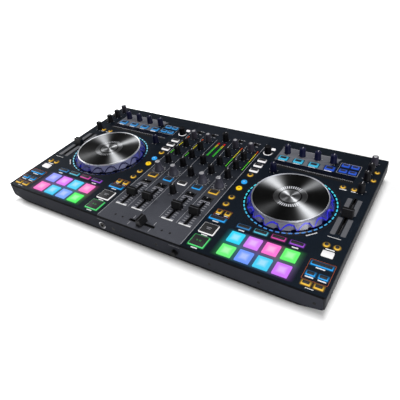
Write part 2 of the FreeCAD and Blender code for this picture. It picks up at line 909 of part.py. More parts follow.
def screw(place, length):
    """A pan-head screw along the placement's Z, with its head at the origin."""
    head = solid("Cylinder", "screw_head", place, Radius="Sizes.screw_head_radius",
                 Height="Sizes.screw_head_height")
    shank = rod("screw_shank", place, size("screw_radius"), length)
    return fused("screw", [head, shank])


def case_screws():
    upward = size("tray_height") + size("screw_bite") - size("screw_gap")
    screws = [screw(at(x, y, size("foot_height")), upward) for x, y in post_places()]
    inward = Rotation(Vector(1, 0, 0), -90)
    for x in FRONT_SCREWS:
        for side in BOTH_SIDES:
            place = at(side * x, -HALF_DEPTH, FRONT_SCREW_LEVEL, inward)
            screws.append(screw(place, size("front_screw_length")))
    return group("case_screws", screws)


# Inside the case

def pot_places():
    """Every shaft that stands through the panel."""
    return trim_knob_places() + [(x, y) for _, x, y, _ in moving_knob_places()]


def rotary_pot(place, body_height, rise):
    """A square pot with its bush and shaft along the placement's Z; the bush ends at the origin."""
    half = size("pot_size") / 2
    top = RIM - BOARD_TOP - size("pot_height")
    can = block("pot_can", (0, 0, 0), (size("pot_size"), size("pot_size"), body_height))
    can.Placement = place.multiply(at(-half, -half, -top - body_height))
    bush = rod("pot_bush", place.multiply(at(0, 0, -top)), size("pot_bush_radius"), top)
    shaft = rod("pot_shaft", place.multiply(at(0, 0, -top)), size("shaft_radius"), top + rise)
    return fused("rotary_pot", [can, bush, shaft])


def slide_pot(x, y, travel, along_x):
    """A slide pot between the board and the panel, with the slot that its fader's stem runs in."""
    height = RIM - BOARD_TOP
    length = travel + size("stem_length") + 2 * size("slide_pot_end")
    width, depth = (length, size("slide_pot_width")) if along_x else (size("slide_pot_width"), length)
    case = block("slide_case", (x - width / 2, y - depth / 2, BOARD_TOP), (width, depth, height))
    slot_w, slot_d = slot_spans(travel, along_x)
    reach = size("stem_reach") + size("slot_gap")
    low = (x - slot_w / 2, y - slot_d / 2, RIM - reach)
    slot = block("slide_slot", low, (slot_w, slot_d, reach + CUT_PAST))
    return cut("slide_pot", case, slot)


def potentiometers():
    rise = size("panel_thickness") + size("knob_lift") + size("knob_grip")
    pots = [rotary_pot(at(x, y, RIM), size("pot_height"), rise) for x, y in pot_places()]
    outward = Rotation(Vector(1, 0, 0), 90)
    front = at(size("contour_x"), FRONT_INNER, SOCKET_LEVEL, outward)
    through = size("wall") + size("front_plate_thickness")
    reach = through + size("knob_lift") + size("contour_grip")
    pots.append(rotary_pot(front, size("pot_height"), reach))
    for _, x, y, travel, along_x in fader_places():
        pots.append(slide_pot(x, y, travel, along_x))
    return group("potentiometers", pots)


def circuit_board():
    body = new_body("circuit_board")
    shape = sketch_on(body, "board_outline", "XY_Plane", size("board_level"))
    middle = (size("board_back") - size("board_front")) / 2
    depth = size("board_back") + size("board_front")
    rounded(shape, 0, middle, size("board_width"), depth, size("case_corner_radius"))
    pad(body, "board", shape, "Sizes.board_thickness")
    return body


# Jog wheels

def jog_bearing(side):
    """Plate under the panel with the boss that carries the jog's hub and guides its spindle."""
    x, y = side * size("jog_x"), size("jog_y")
    ring_bottom = RIM - size("lens_flange_thickness") - size("ring_rise")
    plate = rod("bearing_plate", at(x, y, ring_bottom - size("bearing_plate")),
                size("ring_outer_radius") + size("ring_flange"), size("bearing_plate"))
    hub = PANEL_TOP + size("platter_height") - size("platter_thickness") - size("skirt_deck")
    top = hub - size("thrust_gap")
    boss = rod("bearing_boss", at(x, y, size("bearing_base")), size("bearing_radius"),
               top - size("bearing_base"))
    bore = rod("bearing_bore", at(x, y, size("bearing_base") - CUT_PAST),
               size("spindle_radius") + size("spindle_gap"), top - size("bearing_base") + 2 * CUT_PAST)
    return cut("jog_bearing", fused("bearing_casting", [plate, boss]), bore)


def light_ring(side):
    """Clear ring whose top shows round the jog and whose flange sits between panel and bearing plate."""
    x, y = side * size("jog_x"), size("jog_y")
    bottom = RIM - size("lens_flange_thickness") - size("ring_rise")
    wide = size("ring_outer_radius") + size("ring_flange")
    flange = rod("ring_flange", at(x, y, bottom), wide, RIM - bottom)
    collar = rod("ring_collar", at(x, y, bottom), size("ring_outer_radius"),
                 PANEL_TOP + size("ring_rise") - bottom)
    hole = rod("ring_hole", at(x, y, bottom - CUT_PAST), size("ring_inner_radius"),
               PANEL_TOP + size("ring_rise") - bottom + 2 * CUT_PAST)
    return cut("light_ring", fused("ring_blank", [flange, collar]), hole)


def lens(place):
    """A window flush with the panel, on a flange under it."""
    x, y, width, depth = place
    grow = size("lens_flange")
    thick = size("lens_flange_thickness")
    flange = block("lens_flange", (x - width / 2 - grow, y - depth / 2 - grow, RIM - thick),
                   (width + 2 * grow, depth + 2 * grow, thick))
    window = block("lens_window", (x - width / 2, y - depth / 2, RIM - thick),
                   (width, depth, thick + size("panel_thickness") + size("ring_rise")))
    return fused("lens", [flange, window])


def jog_skirt(side, deck):
    """Moulded skirt of a jog wheel, scalloped for the fingers; its Z starts at the panel's top."""
    body = new_body(f"{deck}_jog_skirt", at(side * size("jog_x"), size("jog_y"), PANEL_TOP))
    profile = sketch_on(body, "skirt_profile", "XZ_Plane")
    foot, lip, wall = size("skirt_lift"), size("skirt_lip"), size("skirt_wall")
    top = size("platter_height") - size("platter_thickness")
    under = top - size("skirt_deck")
    wide, narrow, hub = size("skirt_radius"), size("skirt_top_radius"), size("hub_radius")
    polygon(profile, [
        (hub, top), (narrow, top), (wide, foot + lip), (wide, foot), (wide - wall, foot),
        (wide - wall, foot + lip), (narrow - wall, under), (hub, under),
    ])
    spun = body.newObject("PartDesign::Revolution", "skirt_ring")
    spun.Profile = profile
    spun.ReferenceAxis = (profile, ["V_Axis"])
    spun.Angle = 360
    lean = math.degrees(math.atan2(wide - narrow, top - foot - lip))
    slant = math.hypot(wide - narrow, top - foot - lip)
    scallop = body.newObject("PartDesign::SubtractiveCone", "finger_scallop")
    scallop.AttachmentSupport = [(origin_feature(body, "XY_Plane"), "")]
    scallop.MapMode = "FlatFace"
    start = wide + size("scallop_offset")
    scallop.AttachmentOffset = at(start, 0, foot - lip, Rotation(Vector(0, 1, 0), -lean))
    scallop.setExpression("Radius1", "Sizes.scallop_radius")
    scallop.setExpression("Radius2", "Sizes.scallop_tip_radius")
    scallop.Height = slant + lip
    DOC.recompute()
    ring = body.newObject("PartDesign::PolarPattern", "scallops")
    ring.Originals = [scallop]
    ring.Axis = (origin_feature(body, "Z_Axis"), [""])
    ring.Angle = 360
    ring.setExpression("Occurrences", "Sizes.scallop_count")
    body.Tip = ring
    return body


def jog_platter(side, deck):
    """Turned metal platter with its rim, label rings, hub and spindle."""
    body = new_body(f"{deck}_jog_platter", at(side * size("jog_x"), size("jog_y"), PANEL_TOP))
    profile = sketch_on(body, "platter_profile", "XZ_Plane")
    top = size("platter_height")
    seat = top - size("platter_thickness")
    face = top - size("platter_dish")
    step = size("label_step")
    edge, rim = size("platter_radius"), size("platter_rim")
    disc_r, ring_r = size("label_disc_radius"), size("label_ring_radius")
    hub = size("hub_radius") - size("hub_gap")
    spindle = size("spindle_radius")
    tail = size("bearing_base") - PANEL_TOP
    polygon(profile, [
        (0, face), (disc_r, face), (disc_r + step, face - step), (ring_r - step, face - step), (ring_r, face),
        (edge - rim, face), (edge - rim + size("platter_dish"), top), (edge, top), (edge, seat), (hub, seat),
        (hub, seat - size("skirt_deck")), (spindle, seat - size("skirt_deck")), (spindle, tail), (0, tail),
    ])
    spun = body.newObject("PartDesign::Revolution", "platter_turning")
    spun.Profile = profile
    spun.ReferenceAxis = (profile, ["V_Axis"])
    spun.Angle = 360
    return body


# Faders

def fader(name, x, y, along_x):
    """A fader cap with a waisted grip and a centre ridge, on a flat stem; built along Y, then turned."""
    turn = Rotation(Vector(0, 0, 1), 90 if along_x else 0)
    body = new_body(name, at(x, y, PANEL_TOP, turn))
    side_view = sketch_on(body, "cap_profile", "YZ_Plane")
    low = size("cap_lift")
    high = low + size("cap_height")
    half = size("cap_depth") / 2
    waist = half - size("cap_waist")
    ridge, floor = size("cap_ridge") / 2, size("cap_saddle") / 2
    saddle = high - size("cap_waist")
    polygon(side_view, [
        (-half, low), (half, low), (waist, high), (floor, saddle), (ridge, saddle), (0, saddle + ridge),
        (-ridge, saddle), (-floor, saddle), (-waist, high),
    ])
    cap = pad(body, "cap", side_view, "Sizes.cap_width", symmetric=True)

    def flank(edge):
        middle = edge.CenterOfMass
        long_way = near(abs(middle.x), size("cap_width") / 2)
        return long_way and middle.z > low + size("cap_edge_radius") and abs(middle.y) > waist - TOUCH

    dress(body, "Chamfer", "cap_edges", cap, flank, "Sizes.cap_edge_radius")
    foot = sketch_on(body, "stem_outline", "XY_Plane", low)
    half_w, half_l = size("stem_width") / 2, size("stem_length") / 2
    polygon(foot, [(-half_w, -half_l), (half_w, -half_l), (half_w, half_l), (-half_w, half_l)])
    pad(body, "stem", foot, "Sizes.cap_lift + Sizes.panel_thickness + Sizes.stem_reach", reversed_=True)
    return body


# Pads and keys

def pad_mat(side, deck):
    """One silicone moulding: eight pads on a sheet under the panel."""
    body = new_body(f"{deck}_pad_mat")
    places = pads(side)
    xs = [x for x, _ in places]
    ys = [y for _, y in places]
    grow = size("pad_size") + 2 * size("mat_margin")
    bottom = RIM - size("key_play") - size("mat_thickness")
    sheet = sketch_on(body, "mat_outline", "XY_Plane", bottom)
    rounded(sheet, (min(xs) + max(xs)) / 2, (min(ys) + max(ys)) / 2, max(xs) - min(xs) + grow,
            max(ys) - min(ys) + grow, size("pad_corner"))
    pad(body, "mat_sheet", sheet, "Sizes.mat_thickness")
    tops = sketch_on(body, "pad_outlines", "XY_Plane", bottom + size("mat_thickness"))
    for x, y in places:
        rounded(tops, x, y, size("pad_size"), size("pad_size"), size("pad_corner"))
    raised = pad(body, "pads", tops, "Sizes.key_play + Sizes.panel_thickness + Sizes.pad_rise")

    def crown(edge):
        return all(near(vertex.Z, PANEL_TOP + size("pad_rise")) for vertex in edge.Vertexes)

    dress(body, "Fillet", "pad_crowns", raised, crown, "Sizes.pad_edge_radius")
    return body


def key_set(label, keys):
    """Keycaps that rise through the panel, each held by a flange under it."""
    body = new_body(label)
    stop = RIM - size("key_play")
    flanges = sketch_on(body, "flange_outlines", "XY_Plane", stop - size("key_flange_thickness"))
    caps = sketch_on(body, "cap_outlines", "XY_Plane", stop)
    for key in keys:
        outline(flanges, key, size("key_flange"))
        outline(caps, key)
    pad(body, "flanges", flanges, "Sizes.key_flange_thickness")
    tops = pad(body, "caps", caps, "Sizes.key_play + Sizes.panel_thickness + Sizes.key_rise")

    def crown(edge):
        return all(near(vertex.Z, PANEL_TOP + size("key_rise")) for vertex in edge.Vertexes)

    dress(body, "Chamfer", "cap_edges", tops, crown, "Sizes.key_edge")
    return body


def assign_switches():
    """Sliding lever of each channel's assign switch, with a foot under the panel."""
    body = new_body("assign_switches")
    stop = RIM - size("key_play")
    feet = sketch_on(body, "foot_outlines", "XY_Plane", stop - size("key_flange_thickness"))
    levers = sketch_on(body, "lever_outlines", "XY_Plane", stop)
    for x in CHANNELS.values():
        lever = (x, size("switch_y"), size("switch_width"), size("switch_depth"))
        outline(feet, lever, size("key_flange") + size("slot_gap"))
        outline(levers, lever)
    pad(body, "feet", feet, "Sizes.key_flange_thickness")
    pad(body, "levers", levers, "Sizes.key_play + Sizes.panel_thickness + Sizes.switch_rise")
    return body


# Knobs

def knob(name, place, kind):
    """A tapered knob with a flange at its foot, a dished top and a pointer groove, bored for its shaft."""
    grip_cone = solid("Cone", name + "_grip", place, Radius1=f"Sizes.{kind}_radius",
                      Radius2=f"Sizes.{kind}_top_radius", Height=f"Sizes.{kind}_height")
    flange = solid("Cylinder", name + "_flange", place, Radius=f"Sizes.{kind}_radius + Sizes.knob_flange",
                   Height="Sizes.knob_flange_height")
    shell = fused(name + "_shell", [grip_cone, flange])
    dish_floor = place.multiply(at(0, 0, size(kind + "_height") - size("knob_dish")))
    dish = solid("Cylinder", name + "_dish", dish_floor, Radius=f"Sizes.{kind}_top_radius - Sizes.knob_rim",
                 Height="Sizes.knob_dish + Sizes.cut_margin")
    grip = "contour_grip" if kind == "contour" else "knob_grip"
    bore = solid("Cylinder", name + "_bore", place.multiply(at(0, 0, -CUT_PAST)),
                 Radius="Sizes.shaft_radius + Sizes.shaft_gap", Height=f"Sizes.{grip} + Sizes.cut_margin")
    width, depth = size("pointer_width"), size("pointer_depth")
    groove = block(name + "_pointer", (0, 0, 0), (width, size(kind + "_radius"), depth + CUT_PAST))
    groove.Placement = place.multiply(at(-width / 2, 0, size(kind + "_height") - depth))
    return cut(name, shell, fused(name + "_cuts", [bore, groove, dish]))


def moving_knobs():
    for name, x, y, kind in moving_knob_places():
        node(knob(name, at(x, y, PANEL_TOP + size("knob_lift")), kind), name)
    outward = Rotation(Vector(1, 0, 0), 90)
    place = at(size("contour_x"), -HALF_DEPTH - size("knob_lift"), SOCKET_LEVEL, outward)
    node(knob("contour_knob", place, "contour"), "contour_knob")


def trim_knobs():
    height = PANEL_TOP + size("knob_lift")
    pieces = []
    for number, (x, y) in enumerate(trim_knob_places(), start=1):
        pieces.append(knob(f"trim_{number}", at(x, y, height), "knob"))
    return group("trim_knobs", pieces)


# Sockets

def round_jack(x, face, inward, bush, nut):
    """A jack for a round plug: body inside the wall, bush through it, ring nut outside, blind bore."""
    turn = Rotation(Vector(1, 0, 0), -90 * inward)
    through = size("wall") + (size("front_plate_thickness") if inward > 0 else 0)
    place = at(x, face, SOCKET_LEVEL, turn)
    half = size("jack_body") / 2
    depth = size("jack_bore_length") - size("jack_ring_height") - through + size("jack_end_wall")
    body = block("jack_body", (0, 0, 0), (size("jack_body"), size("jack_body"), depth))
    body.Placement = place.multiply(at(-half, -half, through))
    collar = rod("jack_bush", place, bush, through + CUT_PAST)
    mouth = place.multiply(at(0, 0, -size("jack_ring_height")))
    ring = rod("jack_ring", mouth, nut, size("jack_ring_height"))
    bore = rod("jack_bore", mouth, size("jack_bore_radius"), size("jack_bore_length"))
    return cut("round_jack", fused("jack_blank", [body, collar, ring]), bore)


def small_jack():
    """A small headphone jack beside the large one."""
    radius = size("small_jack_radius")
    place = at(size("small_jack_x"), -HALF_DEPTH, SOCKET_LEVEL, Rotation(Vector(1, 0, 0), -90))
    through = size("wall") + size("front_plate_thickness")
    half = size("small_jack_body") / 2
    depth = size("small_jack_depth")
    body = block("small_body", (0, 0, 0), (2 * half, 2 * half, depth))
    body.Placement = place.multiply(at(-half, -half, through))
    collar = rod("small_bush", place, size("small_bush_radius"), through + CUT_PAST)
    bore = rod("small_bore", place, radius, through + depth - size("jack_end_wall"))
    return cut("small_jack", fused("small_blank", [body, collar]), bore)


def phono_jack(x, z):
    """A phono jack: body inside, collar on the wall, barrel standing out."""
    out = Rotation(Vector(1, 0, 0), -90)
    wall_in = at(x, BACK_INNER - size("phono_tail"), z, out)
    stem = rod("phono_stem", wall_in, size("phono_radius"),
               size("phono_tail") + size("wall") + size("phono_reach"))
    collar = rod("phono_collar", at(x, HALF_DEPTH, z, out), size("phono_collar_radius"),
                 size("phono_collar_height"))
    hole = rod("phono_hole", at(x, HALF_DEPTH, z, out), size("phono_hole_radius"),
               size("phono_reach") + CUT_PAST)
    return cut("phono_jack", fused("phono_blank", [stem, collar]), hole)


def box_socket(x, kind, outside):
    """A rectangular socket through the back wall, with a lip that seats on the wall."""
    width, height = size(kind + "_width"), size(kind + "_depth")
    lip, skin = size(kind + "_lip"), size(kind + "_wall")
    tail = HALF_DEPTH - size("socket_body")
    reach = size("phono_collar_height")
    shell = block(kind + "_shell", (x - width / 2, tail, SOCKET_LEVEL - height / 2),
                  (width, size("socket_body") + reach, height))
    lip_y = HALF_DEPTH if outside else BACK_INNER - reach
    flange = block(kind + "_flange", (x - width / 2 - lip, lip_y, SOCKET_LEVEL - height / 2 - lip),
                   (width + 2 * lip, reach, height + 2 * lip))
    hollow_w, hollow_h = width - 2 * skin, height - 2 * skin
    hollow = block(kind + "_hollow", (x - hollow_w / 2, HALF_DEPTH + reach - size("socket_cavity"),
                                      SOCKET_LEVEL - hollow_h / 2),
                   (hollow_w, size("socket_cavity") + CUT_PAST, hollow_h))
    return cut(kind + "_socket", fused(kind + "_blank", [shell, flange]), hollow)


def mic_socket(x):
    """A round three-pole socket on a square plate, with its three contact holes."""
    out = Rotation(Vector(1, 0, 0), -90)
    half = size("mic_plate") / 2
    thick = size("phono_collar_height")
    plate = block("mic_plate", (x - half, HALF_DEPTH, SOCKET_LEVEL - half),
                  (size("mic_plate"), thick, size("mic_plate")))
    shell = rod("mic_shell", at(x, HALF_DEPTH - size("socket_body"), SOCKET_LEVEL, out), size("mic_radius"),
                size("socket_body") + thick)
    holes = []
    for turn in MIC_PIN_TURNS:
        dx = size("mic_pin_circle") * math.cos(math.radians(turn))
        dz = size("mic_pin_circle") * math.sin(math.radians(turn))
        start = at(x + dx, HALF_DEPTH + thick - size("socket_cavity"), SOCKET_LEVEL + dz, out)
        holes.append(rod("mic_hole", start, size("mic_pin_radius"), size("socket_cavity") + CUT_PAST))
    return cut("mic_socket", fused("mic_blank", [plate, shell]), fused("mic_holes", holes))


def front_sockets():
    jack = round_jack(size("jack_x"), -HALF_DEPTH, 1, size("jack_bush_radius"), size("jack_ring_radius"))
    return group("front_sockets", [jack, small_jack()])


def rear_sockets():
    pieces = [phono_jack(x, z) for x, z in phono_places()]
    for x in LINE_JACKS:
        pieces.append(round_jack(x, HALF_DEPTH, -1, size("jack_bush_radius"), size("jack_ring_radius")))
    pieces += [box_socket(x, "data", False) for x in DATA_SOCKETS]
    pieces += [mic_socket(x) for x in MIC_SOCKETS]
    pieces.append(box_socket(INLET_X, "inlet", True))
    return group("rear_sockets", pieces)


# Build

bottom_tray()
front_plate()
top_panel()
rubber_feet()
case_screws()
circuit_board()
potentiometers()
group("jog_bearings", [jog_bearing(side) for side in BOTH_SIDES])
group("panel_lenses", [light_ring(side) for side in BOTH_SIDES] + [lens(place) for place in lens_places()])
front_sockets()
rear_sockets()
trim_knobs()
for deck_side, deck_name in zip(BOTH_SIDES, ("left", "right")):
    jog_skirt(deck_side, deck_name)
    jog_platter(deck_side, deck_name)
    pad_mat(deck_side, deck_name)
    for key_name, key_place in cue_play_keys(deck_side).items():
        key_set(f"{deck_name}_{key_name}_key", [key_place])
    key_set(f"{deck_name}_deck_keys", deck_keys(deck_side))
key_set("mixer_keys", mixer_keys())
assign_switches()
for fader_name, fader_x, fader_y, _, fader_along_x in fader_places():
    fader(fader_name, fader_x, fader_y, fader_along_x)
moving_knobs()

DOC.recompute()
for item in DOC.Objects:
    if "Invalid" in item.State or "Error" in item.State:
        raise RuntimeError(f"{item.Label} failed: {item.State}")
for item in NODES:
    if item.Shape.isNull() or not item.Shape.isValid() or not item.Shape.Solids:
        raise RuntimeError(f"{item.Label} has no valid solid")

os.makedirs("parts", exist_ok=True)
for item in NODES:
    item.Shape.exportStep(f"parts/{item.Label}.step")
print(len(NODES), "sub-parts,", sum(len(item.Shape.Solids) for item in NODES), "solids")
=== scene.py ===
"""Looks of the two-deck console: camera, light, finishes, lit keys and pads, print and trim."""
import math

import bmesh
import bpy
from mathutils import Matrix, Vector


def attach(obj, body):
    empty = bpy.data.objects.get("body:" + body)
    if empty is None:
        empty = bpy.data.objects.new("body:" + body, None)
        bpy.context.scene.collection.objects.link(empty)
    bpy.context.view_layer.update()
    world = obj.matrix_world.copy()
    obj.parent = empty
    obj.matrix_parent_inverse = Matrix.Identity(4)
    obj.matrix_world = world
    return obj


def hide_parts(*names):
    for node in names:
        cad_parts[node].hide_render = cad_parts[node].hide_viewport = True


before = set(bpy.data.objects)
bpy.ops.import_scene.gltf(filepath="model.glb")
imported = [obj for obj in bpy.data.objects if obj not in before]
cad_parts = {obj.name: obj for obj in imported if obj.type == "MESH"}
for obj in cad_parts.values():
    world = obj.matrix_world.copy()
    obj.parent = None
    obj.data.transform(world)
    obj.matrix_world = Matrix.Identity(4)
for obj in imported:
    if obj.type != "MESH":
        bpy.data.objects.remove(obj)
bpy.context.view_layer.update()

MM = 0.001
PANEL = 48.5
JOG_X, JOG_Y = 232.0, -11.0
SIDES = {"left": -1, "right": 1}
SCALLOPS = 17
CHANNELS = (-78.3, -37.3, 37.3, 78.3)
PRINT = 0.1
INK = PANEL - 0.04
# Bright fans painted into the platters' colour as highlights, fixed to the metal: bearing, narrowness and
# brightness of each
PAINTED_FAN_HIGHLIGHTS = [(148.0, 40.0, 0.30), (-122.0, 24.0, 0.39), (-30.0, 26.0, 0.045), (58.0, 34.0, 0.46)]
GROOVE_TURN = {-1: 0.295, 1: 0.205}
# The turn of each jog, in radians, towards the view: there its skirt is painted greyest and its ring's dashes
# darkest on the left deck and bluest on the right, all painted light and shade centred on that side
SKIRT_FRONT = {-1: 0.82, 1: 0.3}


def linear(red, green, blue):
    """A screen colour, 0 to 255, as the linear colour that the finishes use."""
    channels = []
    for value in (red, green, blue):
        part = value / 255
        channels.append(part / 12.92 if part <= 0.04045 else ((part + 0.055) / 1.055) ** 2.4)
    return tuple(channels)


AMBER = linear(242, 191, 62)
YELLOW = linear(255, 208, 10)
SKY = linear(40, 165, 245)
CYAN = linear(64, 182, 220)
ROYAL = linear(36, 82, 198)
WHITE = linear(250, 248, 250)
GREEN = linear(88, 226, 124)
PINK = linear(214, 76, 168)
PURPLE = linear(160, 80, 215)
UNLIT = linear(34, 27, 16)
DENIM = linear(58, 140, 205)


# Ways of modelling

def start():
    bpy.ops.object.select_all(action="DESELECT")


def editing(piece):
    bpy.context.view_layer.objects.active = piece
    piece.select_set(True)
    bpy.ops.object.mode_set(mode="EDIT")


def done(piece, angle=40):
    bpy.ops.object.mode_set(mode="OBJECT")
    bpy.ops.object.shade_smooth_by_angle(angle=math.radians(angle))
    return piece


def pick(piece, kind, test):
    """Selects what passes the test, and nothing else: 'verts', 'edges' or 'faces'."""
    modes = {"verts": "VERT", "edges": "EDGE", "faces": "FACE"}
    bpy.ops.mesh.select_mode(type=modes[kind])
    bpy.ops.mesh.select_all(action="DESELECT")
    mesh = bmesh.from_edit_mesh(piece.data)
    for part in getattr(mesh, kind):
        part.select_set(test(part))
    mesh.select_flush_mode()
    bmesh.update_edit_mesh(piece.data)


def upright(edge):
    a, b = edge.verts
    return abs(a.co.z - b.co.z) > 1e-6 and (a.co.xy - b.co.xy).length < 1e-7


def level(z):
    return lambda part: all(abs(vert.co.z - z) < 1e-6 for vert in part.verts)


def place_origin():
    bpy.ops.object.transform_apply(location=True, rotation=True, scale=True)


def block(width, depth, height, corner=0.0, soft=0.0, steps=3):
    """A bar in mm on level 0, with rounded upright corners and a softened upper edge."""
    start()
    bpy.ops.mesh.primitive_cube_add(size=1, location=(0, 0, height * MM / 2))
    piece = bpy.context.active_object
    piece.scale = (width * MM, depth * MM, height * MM)
    place_origin()
    editing(piece)
    if corner:
        pick(piece, "edges", upright)
        bpy.ops.mesh.bevel(offset=corner * MM, segments=steps, affect="EDGES")
    if soft:
        pick(piece, "edges", level(height * MM))
        bpy.ops.mesh.bevel(offset=soft * MM, segments=2, affect="EDGES")
    return done(piece)


def button(diameter, height, soft=0.0, around=32):
    """A round key in mm on level 0, with a softened upper edge."""
    start()
    bpy.ops.mesh.primitive_cylinder_add(vertices=around, radius=diameter * MM / 2, depth=height * MM,
                                        location=(0, 0, height * MM / 2))
    piece = bpy.context.active_object
    place_origin()
    editing(piece)
    if soft:
        pick(piece, "edges", level(height * MM))
        bpy.ops.mesh.bevel(offset=soft * MM, segments=2, affect="EDGES")
    return done(piece)


def frame_plate(width, depth, border, height, corner=0.6):
    """A flat frame in mm on level 0, open in the middle."""
    start()
    bpy.ops.mesh.primitive_plane_add(size=1)
    piece = bpy.context.active_object
    piece.scale = (width * MM, depth * MM, 1)
    place_origin()
    editing(piece)
    bpy.ops.mesh.select_all(action="SELECT")
    bpy.ops.mesh.bevel(offset=corner * MM, segments=3, affect="VERTICES")
    pick(piece, "faces", lambda face: True)
    bpy.ops.mesh.inset(thickness=border * MM)
    bpy.ops.mesh.delete(type="FACE")
    return thickened(piece, height)


def ring_plate(outer, inner, height, around=48):
    """A flat ring in mm on level 0."""
    start()
    bpy.ops.mesh.primitive_circle_add(vertices=around, radius=outer * MM, fill_type="NGON")
    piece = bpy.context.active_object
    editing(piece)
    pick(piece, "faces", lambda face: True)
    bpy.ops.mesh.inset(thickness=(outer - inner) * MM)
    bpy.ops.mesh.delete(type="FACE")
    return thickened(piece, height)


def thickened(piece, height):
    bpy.ops.object.mode_set(mode="OBJECT")
    wall = piece.modifiers.new("wall", "SOLIDIFY")
    wall.thickness = height * MM
    wall.offset = 1
    bpy.ops.object.modifier_apply(modifier=wall.name)
    editing(piece)
    bpy.ops.mesh.select_all(action="SELECT")
    bpy.ops.mesh.normals_make_consistent(inside=False)
    return done(piece)


def lit(piece, colour, back=1.0):
    """Gives a piece its own light; where back is below 1 it falls to that share at the back, a painted shade.
    """
    layer = piece.data.color_attributes.get("light")
    if layer is None:
        layer = piece.data.color_attributes.new("light", "FLOAT_COLOR", "POINT")
    depths = [vertex.co.y for vertex in piece.data.vertices]
    front, span = min(depths), max(max(depths) - min(depths), 1e-9)
    for vertex, cell in zip(piece.data.vertices, layer.data):
        share = 1 + (back - 1) * (vertex.co.y - front) / span
        cell.color = (*[value * share for value in colour], 1)
    return piece


def lit_by(piece, colour_at):
    """Gives each point of a piece the light that a rule says."""
    layer = piece.data.color_attributes.new("light", "FLOAT_COLOR", "POINT")
    for vertex, cell in zip(piece.data.vertices, layer.data):
        cell.color = (*colour_at(vertex.co), 1)
    return piece


def moved(piece, x=0.0, y=0.0, z=0.0, turn=0.0):
    """Puts a piece, modelled at the middle, in its place in mm."""
    there = Matrix.Translation(Vector((x, y, z)) * MM) @ Matrix.Rotation(math.radians(turn), 4, "Z")
    piece.data.transform(there)
    return piece


def copied(piece, x, y, z, turn=0.0):
    twin = piece.copy()
    twin.data = piece.data.copy()
    bpy.context.collection.objects.link(twin)
    return moved(twin, x, y, z, turn)


def joined(pieces, name, finish, body="console"):
    """Joins pieces of one finish into one named piece that rides on a body."""
    start()
    for piece in pieces:
        piece.data.materials.clear()
        piece.data.materials.append(finish)
        piece.select_set(True)
    bpy.context.view_layer.objects.active = pieces[0]
    if len(pieces) > 1:
        bpy.ops.object.join()
    whole = bpy.context.active_object
    whole.name = name
    whole.data.name = name
    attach(whole, body)
    return whole


def removed(piece):
    bpy.data.meshes.remove(piece.data)


def cut(piece, tool):
    """Takes the form of a tool out of a piece."""
    bpy.context.view_layer.objects.active = piece
    opening = piece.modifiers.new("opening", "BOOLEAN")
    opening.operation = "DIFFERENCE"
    opening.object = tool
    bpy.ops.object.modifier_apply(modifier=opening.name)
    removed(tool)


# Finishes

class Finish:
    """A node material, built up socket by socket."""

    def __init__(self, name, **sockets):
        self.material = bpy.data.materials.new(name)
        self.material.use_nodes = True
        self.nodes = self.material.node_tree.nodes
        self.links = self.material.node_tree.links
        self.shader = self.nodes["Principled BSDF"]
        for socket, value in sockets.items():
            name = socket.replace("_", " ").title().replace("Ior", "IOR")
            self.shader.inputs[name].default_value = value

    def add(self, kind, **settings):
        node = self.nodes.new("ShaderNode" + kind)
        for key, value in settings.items():
            setattr(node, key, value)
        return node

    def join(self, output, socket):
        self.links.new(output, socket)

    def coords(self, location=(0, 0, 0), scale=(1, 1, 1)):
        """Object coordinates, moved so that a point in mm becomes the middle."""
        source = self.add("TexCoord")
        shift = self.add("Mapping")
        shift.inputs["Location"].default_value = [-value * MM * size for value, size in zip(location, scale)]
        shift.inputs["Scale"].default_value = scale
        self.join(source.outputs["Object"], shift.inputs["Vector"])
        return shift.outputs["Vector"]

    def axes(self, vector):
        """The x, y and z of a vector."""
        parts = self.add("SeparateXYZ")
        self.join(vector, parts.inputs["Vector"])
        return [parts.outputs[axis] for axis in "XYZ"]

    def noise(self, vector, scale, detail=3.0):
        node = self.add("TexNoise")
        node.inputs["Scale"].default_value = scale
        node.inputs["Detail"].default_value = detail
        self.join(vector, node.inputs["Vector"])
        return node.outputs["Fac"]

    def ramp(self, value, *stops):
        """Turns a number into colours, given as (place, colour)."""
        node = self.add("ValToRGB")
        while len(node.color_ramp.elements) < len(stops):
            node.color_ramp.elements.new(0.5)
        for element, (at, colour) in zip(node.color_ramp.elements, stops):
            element.position = at
            element.color = (*colour, 1)
        self.join(value, node.inputs["Fac"])
        return node.outputs["Color"]

    def remap(self, value, low, high, to_low, to_high):
        node = self.add("MapRange")
        for socket, number in zip(("From Min", "From Max", "To Min", "To Max"), (low, high, to_low, to_high)):
            node.inputs[socket].default_value = number
        self.join(value, node.inputs["Value"])
        return node.outputs["Result"]

    def sums(self, kind, a, b=None, c=None):
        node = self.add("Math", operation=kind)
        for index, value in enumerate((a, b, c)):
            if value is None:
                continue
            if isinstance(value, (int, float)):
                node.inputs[index].default_value = value
            else:
                self.join(value, node.inputs[index])
        return node.outputs["Value"]

    def mix(self, share, a, b):
        node = self.add("Mix", data_type="RGBA")
        pairs = ((0, share), (6, a), (7, b))
        for index, value in pairs:
            if isinstance(value, tuple):
                node.inputs[index].default_value = (*value, 1)
            elif isinstance(value, (int, float)):
                node.inputs[index].default_value = value
            else:
                self.join(value, node.inputs[index])
        return node.outputs[2]

    def bump(self, height, strength, distance):
        node = self.add("Bump")
        node.inputs["Strength"].default_value = strength
        node.inputs["Distance"].default_value = distance * MM
        self.join(height, node.inputs["Height"])
        self.join(node.outputs["Normal"], self.shader.inputs["Normal"])

    def feed(self, socket, value):
        self.join(value, self.shader.inputs[socket])


